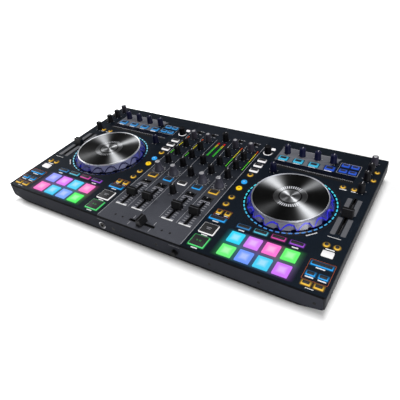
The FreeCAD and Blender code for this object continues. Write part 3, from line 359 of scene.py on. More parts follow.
def grained(name, colour, rough, grain_mm, depth=0.03, vary=0.35, metallic=0.0, sheen=0.3):
    """Moulded or painted stock: fine grain in the relief, slow drift in shade and gloss."""
    finish = Finish(name, metallic=metallic, specular_ior_level=sheen)
    place = finish.coords()
    fine = finish.noise(place, 1 / (grain_mm * MM), 2.0)
    slow = finish.noise(place, 18.0, 2.0)
    dark = tuple(value * (1 - vary) for value in colour)
    pale = tuple(value * (1 + vary) for value in colour)
    shade = finish.sums("MULTIPLY_ADD", fine, 0.55, finish.sums("MULTIPLY", slow, 0.45))
    finish.feed("Base Color", finish.ramp(shade, (0.3, dark), (0.7, pale)))
    finish.feed("Roughness", finish.remap(slow, 0.3, 0.7, rough - 0.05, rough + 0.05))
    finish.bump(fine, 0.35, depth)
    return finish.material


def panel_finish(name="deck_panel", glow=False):
    """The dark top sheet: fine metallic fleck under satin lacquer, paler paint on the mixer, which grows
    paler towards the front as a painted reflection, and a painted shade on the sheet's edge. The glowing kind
    takes light from keys.
    """
    finish = Finish(name, specular_ior_level=0.06)
    finish.shader.inputs["Specular Tint"].default_value = (0.6, 0.82, 1.0, 1)
    place = finish.coords()
    fleck = finish.noise(place, 1500.0, 1.0)
    slow = finish.noise(place, 9.0, 2.0)
    shade = finish.sums("MULTIPLY_ADD", slow, 0.3, finish.sums("MULTIPLY", fleck, 0.7))
    stops = (0.3, 0.62, 0.8)
    deck_shades = linear(10, 15, 22), linear(18, 25, 35), linear(35, 44, 56)
    mixer_shades = linear(66, 67, 74), linear(84, 85, 92), linear(104, 105, 112)
    decks = finish.ramp(shade, *zip(stops, deck_shades))
    mixer = finish.ramp(shade, *zip(stops, mixer_shades))
    x, y, z = finish.axes(place)
    # The mixer between the section lines is paler paint; its paling towards the front is a painted reflection
    middle = finish.sums("LESS_THAN", finish.sums("ABSOLUTE", x), 100.6 * MM)
    front = finish.remap(y, 60 * MM, -170 * MM, 0.06, 1.0)
    sheet = finish.mix(finish.sums("MULTIPLY", middle, front), decks, mixer)
    # Painted shade: the sheet's edge below its top is painted black
    edge = finish.sums("LESS_THAN", z, (PANEL - 0.3) * MM)
    finish.feed("Base Color", finish.mix(edge, sheet, linear(10, 10, 12)))
    finish.feed("Roughness", finish.remap(slow, 0.3, 0.7, 0.40, 0.5))
    finish.bump(fleck, 0.2, 0.02)
    if glow:
        add_light(finish)
    return finish.material


def front_finish():
    """Satin dark grey front; the black bands along its lower lip and under the panel's edge are painted
    shade.
    """
    finish = Finish("front_satin", specular_ior_level=0.015)
    place = finish.coords()
    _, _, z = finish.axes(place)
    fine = finish.noise(place, 4000.0, 2.0)
    slow = finish.noise(place, 18.0, 2.0)
    height = finish.sums("MULTIPLY", z, 20.0)
    # The black bands are painted shade, at the lower lip and under the panel's edge
    black, grey = linear(8, 8, 10), linear(66, 68, 76)
    bands = finish.ramp(height, (0.0, black), (0.245, black), (0.275, grey), (0.865, grey), (0.885, black))
    grain = finish.sums("MULTIPLY_ADD", fine, 0.25, finish.sums("MULTIPLY", slow, 0.15))
    finish.feed("Base Color", finish.mix(grain, bands, linear(24, 24, 28)))
    finish.feed("Roughness", finish.remap(slow, 0.3, 0.7, 0.38, 0.48))
    finish.bump(fine, 0.3, 0.02)
    return finish.material


def add_light(finish, strength=1.0):
    own = finish.add("Attribute", attribute_name="light")
    finish.feed("Emission Color", own.outputs["Color"])
    finish.shader.inputs["Emission Strength"].default_value = strength


def glowing(name, rough=0.35, strength=1.0):
    """Clear moulding lit from below, each piece in its own colour."""
    finish = Finish(name, ior=1.46, specular_ior_level=0.25)
    own = finish.add("Attribute", attribute_name="light")
    place = finish.coords()
    cloud = finish.noise(place, 420.0, 2.0)
    finish.feed("Base Color", finish.mix(0.92, own.outputs["Color"], (0.0, 0.0, 0.0)))
    finish.feed("Emission Color", own.outputs["Color"])
    finish.shader.inputs["Emission Strength"].default_value = strength
    finish.feed("Roughness", finish.remap(cloud, 0.3, 0.7, rough - 0.06, rough + 0.06))
    finish.bump(cloud, 0.15, 0.05)
    return finish.material


def jog_angle(finish, side):
    """The turn about a jog's axis, 0 at the front and growing to both sides, and the radius in mm."""
    place = finish.coords((side * JOG_X, JOG_Y, 0))
    x, y, z = finish.axes(place)
    turn = finish.sums("ARCTAN2", x, finish.sums("MULTIPLY", y, -1.0))
    across = finish.sums("SQRT", finish.sums("MULTIPLY_ADD", x, x, finish.sums("MULTIPLY", y, y)))
    return turn, finish.sums("MULTIPLY", across, 1000.0), finish.sums("MULTIPLY", z, 1000.0)


def platter_finish(side):
    """Dark spun aluminium with four bright fans painted into its colour as highlights: fine grooves, a pale
    turned rim, painted paler on the left deck than on the right, a ringed label.
    """
    finish = Finish(f"spun_aluminium_{'left' if side < 0 else 'right'}", metallic=1.0, anisotropic=0.9)
    finish.shader.inputs["Anisotropic Rotation"].default_value = GROOVE_TURN[side]
    turn, radius, _ = jog_angle(finish, side)
    grooves = finish.add("TexNoise", noise_dimensions="1D")
    grooves.inputs["Scale"].default_value = 3.2
    grooves.inputs["Detail"].default_value = 4.0
    finish.join(radius, grooves.inputs["W"])
    # Painted highlights: the fans brighten the base colour, whatever the lamps do
    painted_fans = 0.0
    for bearing, narrow, bright in PAINTED_FAN_HIGHLIGHTS:
        lean = finish.sums("COSINE", finish.sums("SUBTRACT", turn, math.radians(bearing)))
        fan = finish.sums("POWER", finish.sums("MAXIMUM", lean, 0.0), narrow)
        painted_fans = finish.sums("MULTIPLY_ADD", fan, bright, painted_fans)
    out = finish.sums("DIVIDE", radius, 80.0)
    rings = (0.0, 0.245, 0.255, 0.28, 0.29, 0.405, 0.415)
    plain_levels = (0.15, 0.17, 0.012, 0.012, 0.12, 0.12, 0.01)
    share_levels = (0.9, 0.9, 0.4, 0.4, 0.8, 0.8, 1.0)
    plain = finish.ramp(out, *[(ring, (value,) * 3) for ring, value in zip(rings, plain_levels)])
    share = finish.ramp(out, *[(ring, (value,) * 3) for ring, value in zip(rings, share_levels)])
    shade = finish.sums("MULTIPLY_ADD", painted_fans, share, plain)
    grooves_and_painted_fans = finish.sums("MULTIPLY", shade, finish.remap(grooves.outputs["Fac"], 0.3, 0.7, 0.8, 1.2))
    metal = finish.add("CombineColor")
    for channel, tint in (("Red", 0.95), ("Green", 0.97), ("Blue", 1.0)):
        finish.join(finish.sums("MULTIPLY", grooves_and_painted_fans, tint), metal.inputs[channel])
    rim = finish.sums("GREATER_THAN", radius, 72.9)
    # Painted light: the left deck's rim is painted paler than the right's
    rim_tone_with_painted_light = linear(228, 230, 234) if side < 0 else linear(180, 182, 190)
    finish.feed("Base Color", finish.mix(rim, metal.outputs["Color"], rim_tone_with_painted_light))
    finish.feed("Roughness", finish.remap(grooves.outputs["Fac"], 0.3, 0.7, 0.46, 0.54))
    spin = finish.add("Tangent", direction_type="RADIAL", axis="Z")
    finish.join(spin.outputs["Tangent"], finish.shader.inputs["Tangent"])
    finish.bump(grooves.outputs["Fac"], 0.1, 0.02)
    return finish.material


def skirt_finish(side):
    """Tinted moulding round the platter: grey at the front, a painted reflection, and glowing blue at the
    sides, a painted glow, both set by the turn towards the view; blue arched edges, painted bluer and glowing
    on the right deck.
    """
    finish = Finish(f"jog_skirt_{'left' if side < 0 else 'right'}", ior=1.5)
    turn, _, height = jog_angle(finish, side)
    aside = finish.sums("ABSOLUTE", finish.sums("SUBTRACT", turn, SKIRT_FRONT[side]))
    sides = finish.remap(aside, 0.45, 1.02, 0.0, 1.0)
    sides.node.interpolation_type = "SMOOTHSTEP"
    cell = finish.sums("FRACT", finish.sums("MULTIPLY_ADD", turn, SCALLOPS / (2 * math.pi), 0.5))
    across = finish.sums("MULTIPLY", finish.sums("ABSOLUTE", finish.sums("SUBTRACT", cell, 0.5)), 2.0)
    arch = finish.sums("MULTIPLY_ADD", finish.sums("POWER", across, 1.9), -10.3, 59.6)
    off = finish.sums("ABSOLUTE", finish.sums("SUBTRACT", height, arch))
    line = finish.remap(off, 1.1, 2.0, 1.0, 0.0)
    place = finish.coords()
    cloud = finish.noise(place, 90.0, 3.0)
    # Each deck has its own painted shades of the same moulding
    painted_front_grey = linear(126, 126, 138) if side > 0 else linear(126, 130, 166)
    arch_shade = linear(44, 40, 190) if side > 0 else linear(56, 58, 112)
    body = finish.mix(sides, painted_front_grey, linear(10, 10, 56))
    finish.feed("Base Color", finish.mix(line, body, finish.mix(0.5, arch_shade, (0.0, 0.0, 0.0))))
    blue = finish.mix(sides, (0.0, 0.0, 0.0), linear(10, 18, 116))
    cloudy = finish.mix(finish.remap(cloud, 0.35, 0.65, 0.0, 0.55), blue, (0.0, 0.0, 0.02))
    own = finish.mix(0.25, arch_shade, (0.0, 0.0, 0.0)) if side > 0 else (0.0, 0.0, 0.0)
    finish.feed("Emission Color", finish.mix(line, cloudy, own))
    finish.shader.inputs["Emission Strength"].default_value = 1.0
    finish.feed("Roughness", finish.remap(cloud, 0.3, 0.7, 0.22, 0.34))
    return finish.material


def printed(name, colour, rough=0.5):
    """Screen print: slightly uneven ink."""
    finish = Finish(name, specular_ior_level=0.12)
    place = finish.coords()
    ink = finish.noise(place, 700.0, 2.0)
    thin = tuple(value * 0.82 for value in colour)
    finish.feed("Base Color", finish.ramp(ink, (0.35, thin), (0.6, colour)))
    finish.feed("Roughness", finish.remap(ink, 0.3, 0.7, rough - 0.05, rough + 0.08))
    finish.bump(ink, 0.1, 0.02)
    return finish.material


def trim_knob_finish():
    """Soft-touch black; the level knobs and the back corner ones are grey, those beside the jogs navy."""
    finish = Finish("trim_knob_soft_touch", specular_ior_level=0.13)
    place = finish.coords()
    x, y, _ = finish.axes(place)
    aside, back = finish.sums("ABSOLUTE", x), y
    channels = finish.sums("COMPARE", aside, 57.8 * MM, 32 * MM)
    level_row = finish.sums("MULTIPLY", channels, finish.sums("COMPARE", back, 130 * MM, 9 * MM))
    pale = finish.sums("MAXIMUM", level_row, finish.sums("GREATER_THAN", back, 171 * MM))
    by_jog = finish.sums("COMPARE", aside, 158 * MM, 9 * MM)
    fine = finish.noise(place, 2900.0, 2.0)
    dark = finish.mix(by_jog, linear(12, 12, 17), linear(15, 18, 50))
    shade = finish.mix(pale, dark, linear(64, 62, 74))
    finish.feed("Base Color", finish.mix(finish.remap(fine, 0.3, 0.7, 0.0, 0.4), shade, linear(10, 10, 13)))
    finish.feed("Roughness", finish.remap(fine, 0.3, 0.7, 0.42, 0.52))
    finish.bump(fine, 0.35, 0.02)
    return finish.material


def smoked(name="smoked_lens"):
    """Dark clear strip over the lamps."""
    finish = Finish(name, ior=1.49)
    place = finish.coords()
    cloud = finish.noise(place, 60.0, 2.0)
    finish.feed("Base Color", finish.ramp(cloud, (0.35, linear(6, 9, 20)), (0.7, linear(12, 18, 38))))
    finish.feed("Roughness", finish.remap(cloud, 0.3, 0.7, 0.08, 0.16))
    return finish.material


def floor_finish():
    """White floor that keeps the shadow: it shines, but less beside the case and not under it; the lower
    shine to the right and back and the dark under the case are painted shadow.
    """
    finish = Finish("studio_floor", roughness=1.0)
    shader = finish.shader.inputs
    shader["Base Color"].default_value = (0.8, 0.8, 0.8, 1)
    shader["Specular IOR Level"].default_value = 0.0
    shader["Emission Color"].default_value = (1, 1, 1, 1)
    path = finish.add("LightPath").outputs
    seen = finish.sums("MAXIMUM", path["Is Camera Ray"], path["Is Glossy Ray"])
    seen = finish.sums("MAXIMUM", seen, path["Is Transmission Ray"])
    # Shine measured from a point right of and behind the middle, lowest to the right and back of the case: a
    # painted shadow
    shaded = finish.add("VectorMath", operation="LENGTH")
    finish.join(finish.coords((200, 200, 0)), shaded.inputs[0])
    near = finish.remap(shaded.outputs["Value"], 0.28, 0.6, 0.4, 1.0)
    near.node.interpolation_type = "SMOOTHSTEP"
    x, y, z = finish.axes(finish.coords())
    rise = finish.remap(z, 0.1, 1.6, 1.0, 0.3)
    rise.node.interpolation_type = "SMOOTHSTEP"
    # No shine over the case's footprint: a painted shadow under it
    out_x = finish.sums("SUBTRACT", finish.sums("ABSOLUTE", x), 0.362)
    out_y = finish.sums("SUBTRACT", finish.sums("ABSOLUTE", y), 0.197)
    clear = finish.remap(finish.sums("MAXIMUM", out_x, out_y), 0.0, 0.018, 0.0, 1.0)
    shine_with_painted_shadow = finish.sums("MULTIPLY", finish.sums("MULTIPLY", near, rise), clear)
    finish.feed("Emission Strength", finish.sums("MULTIPLY", shine_with_painted_shadow, seen))
    return finish.material


# Studio

def studio_cove():
    """A round pale floor with a low wall far behind the console on all sides."""
    start()
    bpy.ops.mesh.primitive_circle_add(vertices=64, radius=5, fill_type="NGON")
    cove = bpy.context.active_object
    cove.name = "studio_cove"
    editing(cove)
    pick(cove, "edges", lambda edge: True)
    bpy.ops.mesh.extrude_edges_move(TRANSFORM_OT_translate={"value": (0, 0, 2.2)})
    bpy.ops.mesh.select_all(action="SELECT")
    bpy.ops.mesh.normals_make_consistent(inside=True)
    done(cove)
    cove.data.materials.append(floor_finish())


def softbox(name, bearing, height, reach, width, depth, power):
    """An area lamp aimed at the console; the bearing is clockwise from the back, seen from above."""
    lamp = bpy.data.lights.new(name, "AREA")
    lamp.shape = "RECTANGLE"
    lamp.size, lamp.size_y, lamp.energy = width, depth, power
    stand = bpy.data.objects.new(name, lamp)
    bpy.context.collection.objects.link(stand)
    turn, tilt = math.radians(bearing), math.radians(height)
    away = Vector((math.sin(turn) * math.cos(tilt), math.cos(turn) * math.cos(tilt), math.sin(tilt)))
    stand.location = away * reach + Vector((0, 0, 0.05))
    stand.rotation_euler = away.to_track_quat("Z", "Y").to_euler()


def studio_light():
    softbox("top_box", 11, 70, 3.2, 1.15, 1.15, 56)
    softbox("left_box", -79, 39, 3.2, 1.15, 1.15, 46)
    softbox("front_fill", 114, 14, 1.0, 0.5, 0.4, 4)
    world = bpy.data.worlds.new("studio_room")
    bpy.context.scene.world = world
    world.use_nodes = True
    backdrop = world.node_tree.nodes["Background"]
    backdrop.inputs["Color"].default_value = (0.94, 0.96, 1.0, 1)
    backdrop.inputs["Strength"].default_value = 0.04


def photo_camera():
    """The photograph's view: bearing, tilt, roll and focal length as solved from the case's edges."""
    bearing, tilt, roll = (math.radians(angle) for angle in (34.33, 37.85, -6.38))
    ahead = Vector((-math.sin(bearing) * math.cos(tilt), math.cos(bearing) * math.cos(tilt), -math.sin(tilt)))
    right = ahead.cross(Vector((0, 0, 1))).normalized()
    up = right.cross(ahead)
    rolled_right = math.cos(roll) * right + math.sin(roll) * up
    rolled_up = math.cos(roll) * up - math.sin(roll) * right
    lens = bpy.data.cameras.new("photo_camera")
    lens.sensor_width = 36
    lens.lens = 38.54
    lens.shift_x, lens.shift_y = -0.0293, -0.0033
    lens.clip_start = 0.05
    camera = bpy.data.objects.new("photo_camera", lens)
    bpy.context.collection.objects.link(camera)
    turn = Matrix((rolled_right, rolled_up, -ahead)).transposed().to_4x4()
    camera.matrix_world = Matrix.Translation((0.4710, -0.6287, 0.5800)) @ turn
    bpy.context.scene.camera = camera


# Finishes on the solids of the frame

def clad(names, finish):
    for name in names:
        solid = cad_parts[name]
        solid.data.materials.clear()
        solid.data.materials.append(finish)


def clad_solids():
    nodes = list(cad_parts)
    clad(["bottom_tray"], grained("tray_plastic", linear(34, 35, 39), 0.55, 0.5, 0.05, sheen=0.1))
    clad(["front_plate"], front_finish())
    clad(["top_panel"], panel_finish())
    clad(["rubber_feet"], grained("foot_rubber", linear(28, 28, 28), 0.85, 0.8, 0.06))
    clad(["case_screws"], grained("black_zinc", linear(16, 16, 18), 0.4, 0.2, 0.02, metallic=0.3, sheen=0.15))
    clad(["circuit_board"], grained("solder_mask", linear(16, 70, 44), 0.4, 1.2, 0.02))
    clad(["potentiometers"], grained("pot_body", linear(90, 90, 94), 0.45, 0.4, 0.02, metallic=0.5))
    clad(["jog_bearings"], grained("bearing_plastic", linear(22, 24, 40), 0.4, 0.4, 0.02))
    clad(["panel_lenses"], smoked())
    socket = grained("socket_plastic", linear(13, 13, 15), 0.36, 0.3, 0.02, sheen=0.2)
    clad(["front_sockets", "rear_sockets"], socket)
    knob = grained("knob_soft_touch", linear(11, 11, 15), 0.5, 0.35, 0.02, sheen=0.12)
    clad([name for name in nodes if "_knob" in name], knob)
    clad(["trim_knobs"], trim_knob_finish())
    clad(["contour_knob"], grained("contour_knob_black", linear(9, 9, 11), 0.5, 0.35, 0.02, sheen=0.12))
    filters = grained("filter_knob_grey", linear(76, 76, 88), 0.4, 0.35, 0.02, sheen=0.2)
    clad([name for name in nodes if name.endswith("filter_knob")], filters)
    navy = grained("effect_knob_navy", linear(15, 18, 52), 0.45, 0.35, 0.02, sheen=0.15)
    clad([name for name in nodes if "effect_knob" in name], navy)
    fader = grained("fader_satin", linear(14, 14, 17), 0.42, 0.3, 0.02)
    clad([name for name in nodes if name.endswith("fader")] + ["assign_switches"], fader)
    for deck, side in SIDES.items():
        clad([f"{deck}_jog_platter"], platter_finish(side))
        clad([f"{deck}_jog_skirt"], skirt_finish(side))


# Keys and pads

LIT_BASE = -1.0
CAP_BASE, CAP_TOP = 0.2, 2.5
# Height of the lit body, rim at the sides, rim at front and back, set-back of the cap, light left at the
# back, a painted shade
KEY_STYLES = {
    "rim": (1.5, 1.7, 1.7, 0.4, 0.16),
    "thin": (2.0, 0.9, 0.9, 0.0, 0.6),
    "edge": (1.7, 1.3, 1.3, 0.0, 0.16),
    "deep": (1.9, 1.5, 2.5, 1.3, 0.16),
    "frame": (1.9, 1.0, 1.0, 0.0, 0.75),
    "slot": (2.1, 3.1, 3.2, 0.6, 0.5),
    "grid": (2.2, 2.5, 2.3, 0.2, 0.6),
    "full": (2.4, 0.0, 0.0, 0.0, 0.8),
}


def key_parts(width, depth, style, colour, round_key=False):
    """One key at the middle: a lit body, painted darker towards its back as painted shade, and the dark cap
    let into it, set back where the front glows most.
    """
    glow_height, rim_x, rim_y, set_back, back = KEY_STYLES[style]
    height = glow_height - LIT_BASE
    body = button(width, height, 0.4) if round_key else block(width, depth, height, 1.2, 0.35)
    lit(moved(body, z=PANEL + LIT_BASE), colour, back)
    if style == "full":
        return body, None
    cap_height = CAP_TOP - CAP_BASE
    if round_key:
        cap = button(width - 2 * rim_x, cap_height, 0.4)
    else:
        cap = block(width - 2 * rim_x, depth - 2 * rim_y, cap_height, 0.8, 0.35)
    return body, moved(cap, 0, set_back, PANEL + CAP_BASE)


def halo(width, depth, spread, colour, round_key=False, share=0.3):
    """Light from a key on the panel round it, strongest at the key."""
    if round_key:
        glow = ring_plate(width / 2 + spread, width / 2 + 0.1, 0.06, 32)
    else:
        glow = frame_plate(width + 2 * spread, depth + 2 * spread, spread - 0.1, 0.06, spread)
    limit_x, limit_y = width / 2 + spread * 0.5, depth / 2 + spread * 0.5

    def rule(point):
        if round_key:
            near = point.xy.length / MM < limit_x
        else:
            near = abs(point.x) / MM < limit_x and abs(point.y) / MM < limit_y
        return tuple(value * share if near else 0.0 for value in colour)

    return moved(lit_by(glow, rule), z=PANEL)


COLUMN_X = {"left": -116.0, "right": 120.0}
COLUMN_KEYS = [
    (0, 101, 19, 12, "deep", WHITE), (0, 80.3, 19, 12, "deep", WHITE), (0, 59.6, 19, 12, "deep", WHITE),
    (0, 41, 11, 0, "rim", AMBER), (0, -43.5, 11, 0, "rim", AMBER), (0, -67, 11, 0, "rim", AMBER),
    (0, 12.5, 12.4, 0, "full", SKY), (0, -11, 12.4, 0, "full", YELLOW),
    (0, -93, 10, 10, "rim", AMBER), (18.5, -93, 10, 10, "rim", AMBER),
]
DECK_KEYS = [
    (127, -112.6, 34, 10.5, "rim", SKY),
    (357.5, 151, 8, 0, "rim", AMBER), (357.5, 120.5, 8, 0, "rim", AMBER),
    (331.5, 76.3, 9, 0, "rim", AMBER), (309, 76.3, 9, 0, "rim", AMBER),
    (332.6, -94, 10.5, 0, "rim", AMBER), (351.4, -94, 10.5, 0, "rim", AMBER),
    (342, -115.7, 20, 13, "full", WHITE), (342, -143.3, 37, 9, "edge", SKY),
    (331.4, -167.5, 15, 9, "edge", SKY), (352.6, -167.5, 15, 9, "edge", SKY),
    (331.4, -189, 15, 9, "rim", AMBER), (352.6, -189, 15, 9, "rim", AMBER),
]
MODE_COLOURS = [linear(60, 130, 190), linear(90, 190, 215), PINK, PURPLE]
PAD_COLUMNS = (-51.9, -17.3, 17.3, 51.9)
PAD_ROWS = (-145.0, -180.6)
PAD_MIDDLE = 235.2
PAD_SIZE = 27.0
CUE_WIDTH, CUE_DEPTH = 31.5, 27.5
PAD_COLOURS = {
    "left": [[(140, 150, 250), (220, 120, 245), (70, 205, 245), (255, 120, 200)],
             [(250, 115, 200), (66, 200, 242), (116, 162, 246), (82, 243, 100)]],
    "right": [[(40, 212, 245), (214, 126, 248), (252, 114, 210), (98, 241, 108)],
              [(104, 240, 120), (108, 150, 250), (64, 202, 240), (206, 116, 250)]],
}
EFFECT_COLUMNS = (-73.2, -38.0, -2.8, 32.4)


def keys_of(deck):
    """All lit keys of one deck: x, y, width, depth, style and colour, in mm."""
    side = SIDES[deck]
    keys = [(side * x, *rest) for x, *rest in DECK_KEYS]
    if side < 0:
        keys = [(*key[:5], UNLIT) if key[0] < -355 else key for key in keys]
    keys += [(COLUMN_X[deck] + side * out, *rest) for out, *rest in COLUMN_KEYS]
    keys += [(side * PAD_MIDDLE + x, -113, 25, 9, "thin", colour)
             for x, colour in zip(PAD_COLUMNS, MODE_COLOURS)]
    effect = [CYAN, CYAN, CYAN, ROYAL] if side > 0 else [DENIM] * 4
    keys += [(side * JOG_X + x, 129, 20, 14, "slot", colour) for x, colour in zip(EFFECT_COLUMNS, effect)]
    grid = ROYAL if side > 0 else DENIM
    keys += [(side * JOG_X + x, y, 15.5, 10, "grid", grid) for x in (60.5, 80.5) for y in (130, 151)]
    keys.append((side * 118 + 6.5, 153, 9, 6, "full", WHITE))
    return keys


def lit_keys(name, keys, clear, cap_finish, panel_glow):
    """Builds a group of keys that stands for the node and rides on the body of its name."""
    bodies, caps, halos = [], [], []
    for x, y, width, depth, style, colour in keys:
        round_key = depth == 0
        shell, cap = key_parts(width, depth or width, style, colour, round_key)
        bodies.append(moved(shell, x, y))
        if cap:
            caps.append(moved(cap, x, y))
        if colour is not WHITE:
            halos.append(moved(halo(width, depth or width, 2.6, colour, round_key), x, y))
    whole = joined(bodies, f"{name}_light", clear, name)
    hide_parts(name)
    if caps:
        joined(caps, f"{name}_caps", cap_finish, name)
    if halos:
        joined(halos, f"{name}_halo", panel_glow)


def pad_block():
    """A pad with a raised field, soft at its edges and corners."""
    height = 3.0
    start()
    bpy.ops.mesh.primitive_cube_add(size=1, location=(0, 0, height * MM / 2))
    pad = bpy.context.active_object
    pad.scale = (PAD_SIZE * MM, PAD_SIZE * MM, height * MM)
    place_origin()
    editing(pad)
    pick(pad, "faces", level(height * MM))
    bpy.ops.mesh.inset(thickness=4 * MM)
    bpy.ops.mesh.inset(thickness=6 * MM)
    pick(pad, "edges", upright)
    bpy.ops.mesh.bevel(offset=1.6 * MM, segments=3, affect="EDGES")
    limit = PAD_SIZE * MM / 2 - 1.7 * MM
    brim = level(height * MM)
    pick(pad, "edges", lambda edge: brim(edge) and len(edge.link_faces) == 2
         and min(abs(face.normal.z) for face in edge.link_faces) < 0.5
         and all(max(abs(vert.co.x), abs(vert.co.y)) > limit for vert in edge.verts))
    bpy.ops.mesh.bevel(offset=0.7 * MM, segments=3, affect="EDGES")
    return done(pad)


def pad_set(deck, silicone, panel_glow):
    """Eight lit pads of one deck and their light on the panel."""
    middle = SIDES[deck] * PAD_MIDDLE
    pads, lamps = [], []
    for row, colours in zip(PAD_ROWS, PAD_COLOURS[deck]):
        for column, screen in zip(PAD_COLUMNS, colours):
            colour = linear(*screen)
            pad = pad_block()
            pale = tuple(0.72 * value + 0.28 for value in colour)

            def rule(point, colour=colour, pale=pale):
                out = max(abs(point.x), abs(point.y)) / MM
                share = min(max((out - 3.5) / 5.5, 0), 1)
                return tuple(a + (b - a) * share for a, b in zip(pale, colour))

            pads.append(moved(lit_by(pad, rule), middle + column, row, PANEL - 1.0))
            lamps.append((middle + column, row, colour))
    whole = joined(pads, f"{deck}_pads", silicone, f"{deck}_pad_mat")
    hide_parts(f"{deck}_pad_mat")
    joined([pad_glow(middle, lamps)], f"{deck}_pad_glow", panel_glow)


def pad_glow(middle, lamps):
    """A thin sheet between and round the pads that carries their light, fading outwards."""
    half = PAD_SIZE / 2 + 0.1
    steps = (0.0, 1.2, 2.6)
    flips = (-1, 1)
    near = {middle + x + flip * (half + step) for x in PAD_COLUMNS for step in steps for flip in flips}
    far = {middle + flip * (PAD_COLUMNS[3] + half + step) for step in (5, 8, 12) for flip in flips}
    columns = sorted(near | far)
    rows = sorted({y + flip * (half + step) for y in PAD_ROWS for step in steps for flip in (-1, 1)}
                  | {PAD_ROWS[0] + half + 6, PAD_ROWS[1] - half - 5})
    start()
    bpy.ops.mesh.primitive_grid_add(x_subdivisions=len(columns) - 1, y_subdivisions=len(rows) - 1, size=1)
    sheet = bpy.context.active_object
    for number, vertex in enumerate(sheet.data.vertices):
        vertex.co = Vector((columns[number % len(columns)], rows[number // len(columns)], 0)) * MM
    editing(sheet)

    def under_pad(face):
        spot = face.calc_center_median() / MM
        return any(abs(spot.x - x) < half and abs(spot.y - y) < half for x, y, _ in lamps)

    pick(sheet, "faces", under_pad)
    bpy.ops.mesh.delete(type="FACE")
    thickened(sheet, 0.06)
    limits = (columns[0], columns[-1]), (rows[0], rows[-1])

    def rule(point):
        spot = point / MM
        edge = min(abs(at - limit) for at, pair in zip(spot.xy, limits) for limit in pair)
        light = [0.0, 0.0, 0.0]
        for x, y, colour in lamps:
            gap = math.hypot(max(abs(spot.x - x) - half, 0), max(abs(spot.y - y) - half, 0))
            share = 0.15 * math.exp(-gap / 6) * min(edge / 5, 1)
            light = [have + share * value for have, value in zip(light, colour)]
        return light

    return moved(lit_by(sheet, rule), z=PANEL)


def all_keys():
    clear = glowing("key_light")
    cap_finish = grained("key_cap_satin", linear(14, 14, 18), 0.5, 0.3, 0.01)
    silicone = glowing("pad_silicone", 0.55)
    panel_glow = panel_finish("deck_panel_glow", True)
    for deck, side in SIDES.items():
        lit_keys(f"{deck}_deck_keys", keys_of(deck), clear, cap_finish, panel_glow)
        for kind, y, colour in (("cue", PAD_ROWS[0], WHITE), ("play", PAD_ROWS[1], GREEN)):
            name = f"{deck}_{kind}_key"
            key = (side * 127, y, CUE_WIDTH, CUE_DEPTH, "frame", colour)
            lit_keys(name, [key], clear, cap_finish, panel_glow)
        pad_set(deck, silicone, panel_glow)
    mixer = [(x, -43.5, 19.5, 12.5, "edge", colour)
             for x, colour in zip((-78.3, -37.3, 0, 37.3, 78.3), (AMBER, SKY, WHITE, SKY, AMBER))]
    lit_keys("mixer_keys", mixer, clear, cap_finish, panel_glow)


# Light rings

def ring_lamps():
    """Dashes of light on each ring, with painted shade towards the front: bluer on the right deck, dark on
    the left.
    """
    clear = glowing("ring_light", 0.3)
    tick_ink = printed("tick_ink", linear(232, 234, 240))
    dash = block(7.4, 2.6, 0.5, 0.7, 0.15)
    count = 48
    for deck, side in SIDES.items():
        dashes = []
        for number in range(count):
            turn = 360 * number / count
            # Painted shade: each dash's colour is set by its turn from the side facing the view
            front = math.cos(math.radians(turn) - SKIRT_FRONT[side])
            if side > 0:
                share, ends = max(front, 0.0), (linear(70, 215, 232), linear(66, 124, 205))
            else:
                share = min(max((front - 0.2) / 0.4, 0.0), 1.0)
                ends = linear(130, 210, 235), linear(16, 26, 70)
            colour = tuple(a + (b - a) * share for a, b in zip(*ends))
            around = math.radians(turn - 90)
            x = side * JOG_X + 89.6 * math.cos(around)
            y = JOG_Y + 89.6 * math.sin(around)
            dashes.append(lit(copied(dash, x, y, PANEL + 0.1, turn), colour))
        joined(dashes, f"{deck}_ring_lamps", clear, "console")
        ticks, tick = [], 1.5 if side > 0 else 0.5
        for number in range(44):
            turn = math.radians(360 * number / 44)
            if abs(math.cos(turn + SKIRT_FRONT[1])) > 0.74:
                ticks.append((side * JOG_X + 28.5 * math.sin(turn), JOG_Y + 28.5 * math.cos(turn), tick, 7.4,
                              -math.degrees(turn)))
        print_bars(f"{deck}_platter_ticks", ticks, tick_ink, f"{deck}_jog", 63.68)
    removed(dash)
    borders = [moved(ring_plate(96.5, 92.4, PRINT, 96), side * JOG_X, JOG_Y, INK) for side in SIDES.values()]
    joined(borders, "ring_borders", printed("navy_ink", linear(9, 10, 22)))


# Print and trim

FADER_Y = -117.5
CROSS_Y = -185.6
PITCH_X, PITCH_Y = 342.0, -5.0


def print_bars(name, bars, finish, body="console", z=INK, height=PRINT):
    """Flat printed bars in mm: x, y, width, depth and turn."""
    pieces = []
    for x, y, width, depth, *turn in bars:
        bar = block(width, depth, height, min(width, depth) * 0.2, 0.0, 2)
        pieces.append(moved(bar, x, y, z, turn[0] if turn else 0.0))
    return joined(pieces, name, finish, body)


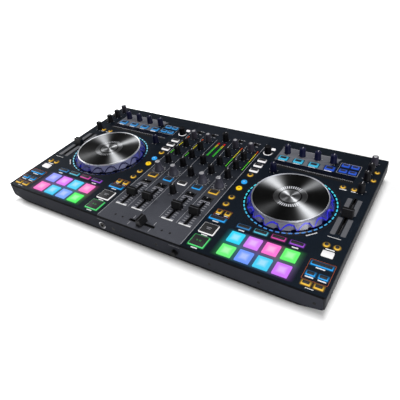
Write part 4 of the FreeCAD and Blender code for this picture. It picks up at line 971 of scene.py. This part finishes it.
def label_bars():
    """White label fields beside the keys, on the mixer's faders and by the jogs."""
    bars = []
    for deck, side in SIDES.items():
        bars += [(side * PAD_MIDDLE + x, -123.4, 12, 2.6) for x in (PAD_COLUMNS[0], PAD_COLUMNS[3])]
        bars += [(side * JOG_X + x - 1, 119.7, 16, 3.4) for x in EFFECT_COLUMNS]
        bars += [(COLUMN_X[deck] + side * out, -100.6, 8, 2.2) for out in (0, 18.5)]
        bars += [(side * x, y, width, depth) for x, y, width, depth in (
            (331.5, 69.0, 9, 2.4), (311, 69.0, 14, 2.8), (342, -103.4, 16, 2.4), (342, -151.0, 16, 2.4),
            (331.4, -175.2, 14, 2.8), (352.6, -175.2, 14, 2.8), (127, -121.2, 13, 2.4),
            (127, -162.7, 13, 2.2),
            (127, -198.4, 13, 2.4), (340, -198.0, 14, 1.2))]
        bars.append((side * 300, -79, 22, 3.6, side * 45))
        bars.append((side * PITCH_X - 3, -72, 24, 1.0))
    bars += [(x, -154.4, 27, 3.6) for x in CHANNELS]
    print_bars("label_bars", bars, printed("white_ink", linear(246, 246, 248)))
    bands = [(side * PAD_MIDDLE, 98.2, 176, 12.6) for side in SIDES.values()]
    print_bars("strip_bands", bands, printed("black_ink", linear(12, 12, 15)), height=0.06)


def grey_lines():
    """Section lines, fader scales and the marks round the knobs."""
    lines = [(x, -16, 0.9, 370) for x in (-100.6, 100.6)]
    lines += [(x, -6, 0.7, 300) for x in (-60, -20, 20, 60)]
    for x in CHANNELS:
        for step in range(11):
            y = FADER_Y - 33 + 6.6 * step
            long = 8 if step in (0, 5, 10) else 6
            lines += [(x + flip * (5.5 + long / 2), y, long, 1.2) for flip in (-1, 1)]
    for x in (-25, 25):
        lines += [(x, CROSS_Y + flip * 9.5, 1.2, 9) for flip in (-1, 1)]
    for side in SIDES.values():
        lines += [(side * PAD_MIDDLE, 101.8, 172, 0.6)]
        lines += [(side * PAD_MIDDLE - 86 + 4 * step, 100.6, 0.6, 1.8) for step in range(44)]
        lines += [(side * JOG_X - 28, 173, 126, 1.2)]
    print_bars("scale_lines", lines, printed("grey_ink", linear(182, 182, 188)))


def knob_marks():
    """End marks beside each knob, and full scales round the filter knobs."""
    marks = []
    for x, y, _, radius, kind in knob_places():
        reach = radius + (6.6 if kind == "filter" else 3.2)
        angles = range(-150, 151, 30) if kind == "filter" else (-150, -75, 75, 150)
        for angle in angles:
            turn = math.radians(angle)
            marks.append((x + reach * math.sin(turn), y + reach * math.cos(turn), 1.0, 2.4, -angle))
    print_bars("knob_marks", marks, printed("mark_ink", linear(205, 205, 210)))


def frames():
    """Thin frames round the groups of keys."""
    orange, grey = printed("orange_ink", linear(190, 92, 44)), printed("frame_ink", linear(196, 195, 204))
    warm, cool = [], []
    for deck, side in SIDES.items():
        middle = COLUMN_X[deck] + side * 9.25
        warm.append(moved(frame_plate(33, 20, 0.6, PRINT, 1.5), middle, -95.2, INK))
        warm.append(moved(frame_plate(44, 47, 0.6, PRINT, 1.5), side * PITCH_X, -158.6, INK))
        cool.append(moved(frame_plate(44, 40, 0.6, PRINT, 1.5), side * JOG_X + 70.5, 140.5, INK))
    for x in CHANNELS:
        for flip in (-1, 1):
            cool.append(moved(frame_plate(11.5, 6.0, 0.9, PRINT, 1.0), x + flip * 5.4, -80, INK))
    joined(warm, "orange_frames", orange)
    joined(cool, "grey_frames", grey)


def effect_fields():
    """Grey printed field of each effect section, slanted at its outer end and open at the keys."""
    fields = []
    for side in SIDES.values():
        field = block(112, 54, PRINT)
        editing(field)
        pick(field, "verts", lambda vert: vert.co.x > 0 and vert.co.y > 0)
        bpy.ops.transform.translate(value=(24 * MM, 0, 0))
        done(field)
        moved(field, side * JOG_X - 34, 145, PANEL - 0.06)
        for x in EFFECT_COLUMNS:
            cut(field, moved(block(20.2, 14.2, 2.0), side * JOG_X + x, 129, PANEL - 1.0))
        fields.append(field)
    joined(fields, "effect_fields", printed("field_ink", linear(112, 113, 120)))


def pitch_strips():
    """Textured grip strips each side of the pitch faders."""
    finish = Finish("pitch_strip_weave")
    place = finish.coords()
    check = finish.add("TexChecker")
    check.inputs["Scale"].default_value = 650.0
    finish.join(place, check.inputs["Vector"])
    fine = finish.noise(place, 900.0, 2.0)
    finish.feed("Base Color", finish.mix(check.outputs["Fac"], linear(70, 71, 76), linear(92, 93, 99)))
    finish.feed("Roughness", finish.remap(fine, 0.3, 0.7, 0.4, 0.6))
    finish.bump(check.outputs["Fac"], 0.3, 0.05)
    bars = []
    for side in SIDES.values():
        bars += [(side * PITCH_X + flip * 9.5, PITCH_Y + off, 9, 50) for flip in (-1, 1) for off in (27, -34)]
    print_bars("pitch_strips", bars, finish.material, height=0.16)


def knob_places():
    """Every knob on the top: x, y, top level, grip radius and kind, in mm."""
    places = []
    for x in CHANNELS:
        places.append((x, 130, 68.5, 6.4, "level"))
        places += [(x, y, 68.5, 6.4, "tone") for y in (92.3, 54.6, 16.9)]
        places.append((x, -20.8, 71.0, 8.2, "filter"))
    places += [(0, y, 68.5, 6.4, "trim") for y in (150, 44, -8, -78)]
    for side in SIDES.values():
        places += [(side * 344.5, y, 68.5, 6.4, "trim") for y in (149.5, 119, 76.3)]
        places.append((side * 344.5, 180, 68.5, 6.4, "level"))
        places.append((side * 158, 76, 68.5, 6.4, "trim"))
        places += [(side * JOG_X + x, 154, 68.5, 6.4, "effect") for x in EFFECT_COLUMNS]
        places.append((side * 118, 136, 66.1, 7.6, "browse"))
    return places


def knob_body(x, y, kind):
    """The body that a knob rides on."""
    deck = "left" if x < 0 else "right"
    if kind == "effect":
        number = 1 + min(range(4), key=lambda n: abs(SIDES[deck] * JOG_X + EFFECT_COLUMNS[n] - x))
        return f"{deck}_effect_knob_{number}"
    if kind == "browse":
        return f"{deck}_browse_knob"
    if kind in ("tone", "filter"):
        row = {92.3: "high", 54.6: "mid", 16.9: "low", -20.8: "filter"}[y]
        return f"channel_{1 + CHANNELS.index(x)}_{row}_knob"
    return "console"


def pointer(radius, grip, lean):
    """A white pointer line: along the top and down the grip, towards the back."""
    top = moved(block(1.1, radius - 1.6, 0.75, 0.2), 0, radius / 2 - 0.3, -1.0)
    side = block(1.0, 0.5, 14, 0.2)
    slope = Matrix.Rotation(math.radians(lean), 4, "X")
    side.data.transform(Matrix.Translation(Vector((0, grip - 0.25, -16.5)) * MM) @ slope)
    return [top, side]


def knob_trim():
    """Pointers on the knobs and turned caps on the level and filter knobs."""
    ink = printed("pointer_ink", linear(225, 225, 228))
    cap_metal = grained("turned_cap", linear(196, 196, 200), 0.3, 0.4, 0.01, 0.1, 0.55)
    fixed_lines, fixed_caps = [], []
    for x, y, top, radius, kind in knob_places():
        body = knob_body(x, y, kind)
        grip, lean = (radius, 3.2) if kind == "filter" else (7.3, 1.9)
        lines = [] if kind == "browse" else [moved(part, x, y, top) for part in pointer(radius, grip, lean)]
        caps = []
        if kind in ("level", "filter"):
            caps.append(moved(button(radius * 1.25, 1.0, 0.4), x, y, top - 0.5))
        if body == "console":
            fixed_lines += lines
            fixed_caps += caps
            continue
        if lines:
            joined(lines, f"{body}_pointer", ink, body)
        if caps:
            joined(caps, f"{body}_cap", cap_metal, body)
    joined(fixed_lines, "trim_knob_pointers", ink, "console")
    joined(fixed_caps, "trim_knob_caps", cap_metal, "console")


def fader_lines():
    """The grey line across each fader cap."""
    ink = printed("fader_ink", linear(84, 84, 88))
    places = [(f"channel_{1 + n}_fader", x, FADER_Y, 0) for n, x in enumerate(CHANNELS)]
    places += [(f"{deck}_pitch_fader", side * PITCH_X, PITCH_Y, 0) for deck, side in SIDES.items()]
    places.append(("crossfader", 0, CROSS_Y, 90))
    for body, x, y, turn in places:
        line = moved(block(20, 1.4, 0.5, 0.2), x, y, 62.75, turn)
        joined([line], f"{body}_line", ink, body)


def switch_trim():
    """Black bezels of the assign switches and the white dots on their levers."""
    gloss = grained("bezel_gloss", linear(12, 12, 14), 0.25, 0.3, 0.01)
    bezels = [moved(frame_plate(24, 13.6, 3.2, 0.5, 1.2), x, -68.5, PANEL) for x in CHANNELS]
    joined(bezels, "switch_bezels", gloss)
    dots = [moved(button(2.2, 0.3, 0.1, 20), x, -68.5, PANEL + 3.9) for x in CHANNELS]
    joined(dots, "switch_dots", printed("dot_ink", linear(225, 225, 228)), "assign_switches")


def selector_trim():
    """Small source selectors at the back of each channel, with their label dashes."""
    black = grained("selector_black", linear(10, 10, 12), 0.4, 0.3, 0.01)
    pieces, dashes = [], []
    for x in CHANNELS:
        pieces.append(moved(frame_plate(15, 7.5, 2.0, 0.8, 1.2), x, 157, PANEL - 0.05))
        pieces.append(moved(block(4.6, 3.2, 4.2, 0.5, 0.4), x - 2.5, 157, PANEL - 0.05))
        dashes += [(x + off, 163.6, 4.4, 1.5) for off in (-6.5, 0, 6.5)]
        dashes += [(x + off, 149.4, 5.4, 1.5) for off in (-5, 5)]
    joined(pieces, "source_selectors", black)
    print_bars("selector_labels", dashes, printed("selector_ink", linear(206, 206, 212)))


def meter_lamps():
    """Lamp segments of the level meters, green to orange, and the dotted master meters with red ends."""
    clear = glowing("meter_light", 0.3)
    segment, dot = block(2.1, 3.4, 0.4, 0.3), block(1.5, 2.6, 0.4, 0.3)
    lamps = []
    for x in (-95, -54.3, 54.3, 95):
        for step in range(14):
            colour = linear(96, 214, 52) if step < 6 else linear(226, 214, 52)
            if step > 11:
                colour = linear(225, 90, 30)
            lamps.append(lit(copied(segment, x, 52 + 6 * step, PANEL + 0.1), colour))
    for x in (-7.5, 7.5):
        for step in range(14):
            colour = linear(70, 206, 62) if step < 9 else linear(222, 208, 48)
            if step > 11:
                colour = linear(228, 36, 30)
            for flip in (-1, 1):
                lamps.append(lit(copied(dot, x + flip * 1.25, 74.5 + 4.3 * step, PANEL + 0.1), colour))
    joined(lamps, "meter_lamps", clear, "console")
    removed(segment)
    removed(dot)


def cross_screws():
    """Dark socket screws in the recesses beside the crossfader."""
    head = button(4.4, 0.5, 0.12, 24)
    editing(head)
    pick(head, "faces", level(0.5 * MM))
    bpy.ops.mesh.inset(thickness=0.9 * MM)
    bpy.ops.transform.translate(value=(0, 0, -0.35 * MM))
    done(head)
    heads = [copied(head, x, CROSS_Y, PANEL - 0.8) for x in (-66.2, -47.8, 47.8, 66.2)]
    removed(head)
    black = grained("screw_black", linear(26, 26, 29), 0.4, 0.3, 0.01, metallic=0.6)
    joined(heads, "cross_screws", black)


def key_bezels():
    """Dark rings let in round the two round lamps of each deck."""
    rings = [moved(ring_plate(8.4, 6.4, 0.25, 40), COLUMN_X[deck], y, PANEL - 0.05)
             for deck in SIDES for y in (12.5, -11)]
    joined(rings, "lamp_bezels", grained("bezel_satin", linear(12, 11, 14), 0.4, 0.3, 0.01))


def browse_glow():
    """White light round the front of the browse knobs."""
    rings = []
    for side in SIDES.values():
        ring = ring_plate(10.6, 8.6, 0.3, 40)
        lit_by(ring, lambda point: tuple(value * min(1, max(0, 0.55 - 110 * point.y)) for value in WHITE))
        rings.append(moved(ring, side * 118, 136, PANEL))
    joined(rings, "browse_glow", glowing("browse_light", 0.4), "console")


def front_trim():
    """Bright ring round the headphone jack and the small label bars along the front's upper edge."""
    ring = ring_plate(8.0, 6.6, 0.8, 40)
    ring.data.transform(Matrix.Rotation(math.radians(90), 4, "X"))
    chrome = grained("bright_nickel", linear(190, 190, 194), 0.2, 0.5, 0.005, 0.06, 1.0)
    joined([moved(ring, -92, -204.5, 25)], "jack_ring", chrome, "console")
    labels = []
    for x, width in ((-92, 22), (86.7, 24)):
        bar = block(width, 1.4, 0.1, 0.3)
        bar.data.transform(Matrix.Rotation(math.radians(90), 4, "X"))
        labels.append(moved(bar, x, -204.5, 39.5))
    joined(labels, "front_labels", printed("front_ink", linear(120, 121, 126)), "console")


def slot_borders():
    """Black print round the fader slots, which makes them look as wide as they do."""
    borders = [moved(frame_plate(7.6, 72.4, 1.75, PRINT, 1.2), x, FADER_Y, INK) for x in CHANNELS]
    for side in SIDES.values():
        borders.append(moved(frame_plate(7.6, 112.4, 1.75, PRINT, 1.2), side * PITCH_X, PITCH_Y, INK))
    borders.append(moved(frame_plate(61.4, 6.4, 1.15, PRINT, 1.2), 0, CROSS_Y, INK))
    joined(borders, "slot_borders", printed("slot_ink", linear(9, 9, 11)))


def turned(foot, steps):
    """A turned solid in mm on level 0: its foot's radius, then the rise and radius of each step."""
    start()
    bpy.ops.mesh.primitive_circle_add(vertices=48, radius=foot * MM, fill_type="NGON")
    piece = bpy.context.active_object
    editing(piece)
    reach = foot
    for rise, radius in steps:
        bpy.ops.mesh.extrude_region_move(TRANSFORM_OT_translate={"value": (0, 0, rise * MM)})
        bpy.ops.transform.resize(value=(radius / reach, radius / reach, 1))
        reach = radius
    bpy.ops.mesh.select_mode(type="EDGE")
    bpy.ops.mesh.select_all(action="DESELECT")
    bpy.ops.mesh.select_non_manifold()
    bpy.ops.mesh.edge_face_add()
    bpy.ops.mesh.select_all(action="SELECT")
    bpy.ops.mesh.normals_make_consistent(inside=False)
    return done(piece, 50)


SLEEVE = [(0.9, 7.7), (0.9, 7.2), (14.8, 6.7), (1.6, 6.4), (0.8, 5.7), (0.0, 5.1), (-3.0, 5.1)]


def knob_sleeves():
    """Soft grips round the knobs: flared collars on the filter knobs, open-topped sleeves on the others."""
    collar = turned(11.2, [(1.0, 11.2), (2.4, 9.9), (3.4, 8.9), (4.4, 7.6)])
    sleeve = turned(7.7, SLEEVE)
    fixed, rings = [], []
    for x, y, _, _, kind in knob_places():
        body = knob_body(x, y, kind)
        if kind == "browse":
            continue
        if kind == "filter":
            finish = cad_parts[body].data.materials[0]
            joined([copied(collar, x, y, PANEL + 0.7)], f"{body}_collar", finish, body)
            rings.append(moved(ring_plate(12.5, 11.7, PRINT, 64), x, y, INK))
        elif body == "console":
            fixed.append(copied(sleeve, x, y, PANEL + 0.8))
        else:
            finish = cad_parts[body].data.materials[0]
            joined([copied(sleeve, x, y, PANEL + 0.8)], f"{body}_sleeve", finish, body)
    removed(collar)
    removed(sleeve)
    joined(fixed, "trim_knob_sleeves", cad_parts["trim_knobs"].data.materials[0], "console")
    joined(rings, "filter_rings", printed("ring_ink", linear(170, 170, 176)))


def facing_back(piece, x, z, y=204.5):
    """Turns a piece, modelled upwards, to stand out of the back wall."""
    piece.data.transform(Matrix.Rotation(math.radians(-90), 4, "X"))
    return moved(piece, x, y, z)


def rear_trim():
    """Socket inserts, rings, tongues, pins and small label bars on the back."""
    nickel = bpy.data.materials["bright_nickel"]
    columns = (45, -5, -35, -65, -95)
    for row, z, shade in (("upper", 32, (226, 226, 224)), ("lower", 18, (190, 26, 24))):
        inserts = [facing_back(ring_plate(3.8, 1.9, 0.3, 32), x, z, 212) for x in columns]
        finish = grained(f"phono_insert_{row}", linear(*shade), 0.4, 0.3, 0.01, 0.08)
        joined(inserts, f"phono_inserts_{row}", finish, "console")
    rings = [facing_back(ring_plate(6.3, 4.0, 0.3, 40), x, 25, 206) for x in (130, 105, 80)]
    rings += [facing_back(ring_plate(12.4, 10.4, 0.4, 48), x, 25, 206) for x in (-205, -250)]
    pins = [(265, 28.2), (258, 22.6), (272, 22.6)]
    rings += [facing_back(block(2.0, 4.2, 11, 0.3, 0.3), x, z, 191.9) for x, z in pins]
    joined(rings, "socket_metal", nickel, "console")
    tongues = [facing_back(block(5.4, 3.0, 11, 0.3, 0.3), x, 25, 191.9) for x in (215, 190)]
    joined(tongues, "socket_tongues", grained("tongue_plastic", linear(196, 196, 192), 0.45, 0.3, 0.01, 0.08),
           "console")
    labels = [(265, 14), (215, 10), (190, 10), (130, 10), (105, 10), (80, 10), (-205, 12), (-250, 12)]
    labels += [(x, 8) for x in columns]
    bars = [facing_back(block(width, 1.3, PRINT, 0.25), x, 41.8, 204.46) for x, width in labels]
    joined(bars, "rear_labels", printed("rear_ink", linear(176, 176, 182)), "console")


def key_signs():
    """Plain signs on the two large keys of each deck: a bar on one, a triangle and two bars on the other."""
    brown, pale = printed("sign_brown", linear(150, 92, 8)), printed("sign_pale", linear(196, 232, 255))
    lamp_signs = {-11: brown, 12.5: pale}
    grey, green = printed("sign_grey", linear(150, 150, 156)), printed("sign_green", linear(60, 150, 76))
    top = PANEL + 2.48
    for deck, side in SIDES.items():
        x = side * 127
        bars = [moved(block(width, 1.6, PRINT, 0.3), x, PAD_ROWS[0] + y, top)
                for y, width in ((1.8, 11), (-1.8, 8))]
        joined(bars, f"{deck}_cue_sign", grey, f"{deck}_cue_key")
        start()
        bpy.ops.mesh.primitive_circle_add(vertices=3, radius=2.6 * MM, fill_type="NGON")
        arrow = bpy.context.active_object
        editing(arrow)
        bpy.ops.mesh.select_all(action="SELECT")
        bpy.ops.mesh.bevel(offset=0.3 * MM, segments=2, affect="VERTICES")
        thickened(arrow, PRINT)
        parts = [moved(arrow, x - 3.5, PAD_ROWS[1], top, -90)]
        parts += [moved(block(1.2, 4.2, PRINT, 0.3), x + off, PAD_ROWS[1], top) for off in (1.6, 4.0)]
        joined(parts, f"{deck}_play_sign", green, f"{deck}_play_key")
        for y, ink in lamp_signs.items():
            dot = moved(button(3.2, PRINT, 0.0, 20), COLUMN_X[deck], y, PANEL + 2.38)
            joined([dot], f"{deck}_{ink.name}", ink, f"{deck}_deck_keys")


bpy.context.scene.view_settings.view_transform = "Standard"
studio_cove()
studio_light()
photo_camera()
clad_solids()
all_keys()
ring_lamps()
label_bars()
grey_lines()
knob_marks()
frames()
effect_fields()
pitch_strips()
knob_trim()
fader_lines()
switch_trim()
selector_trim()
meter_lamps()
cross_screws()
key_bezels()
browse_glow()
front_trim()
slot_borders()
knob_sleeves()
rear_trim()
key_signs()
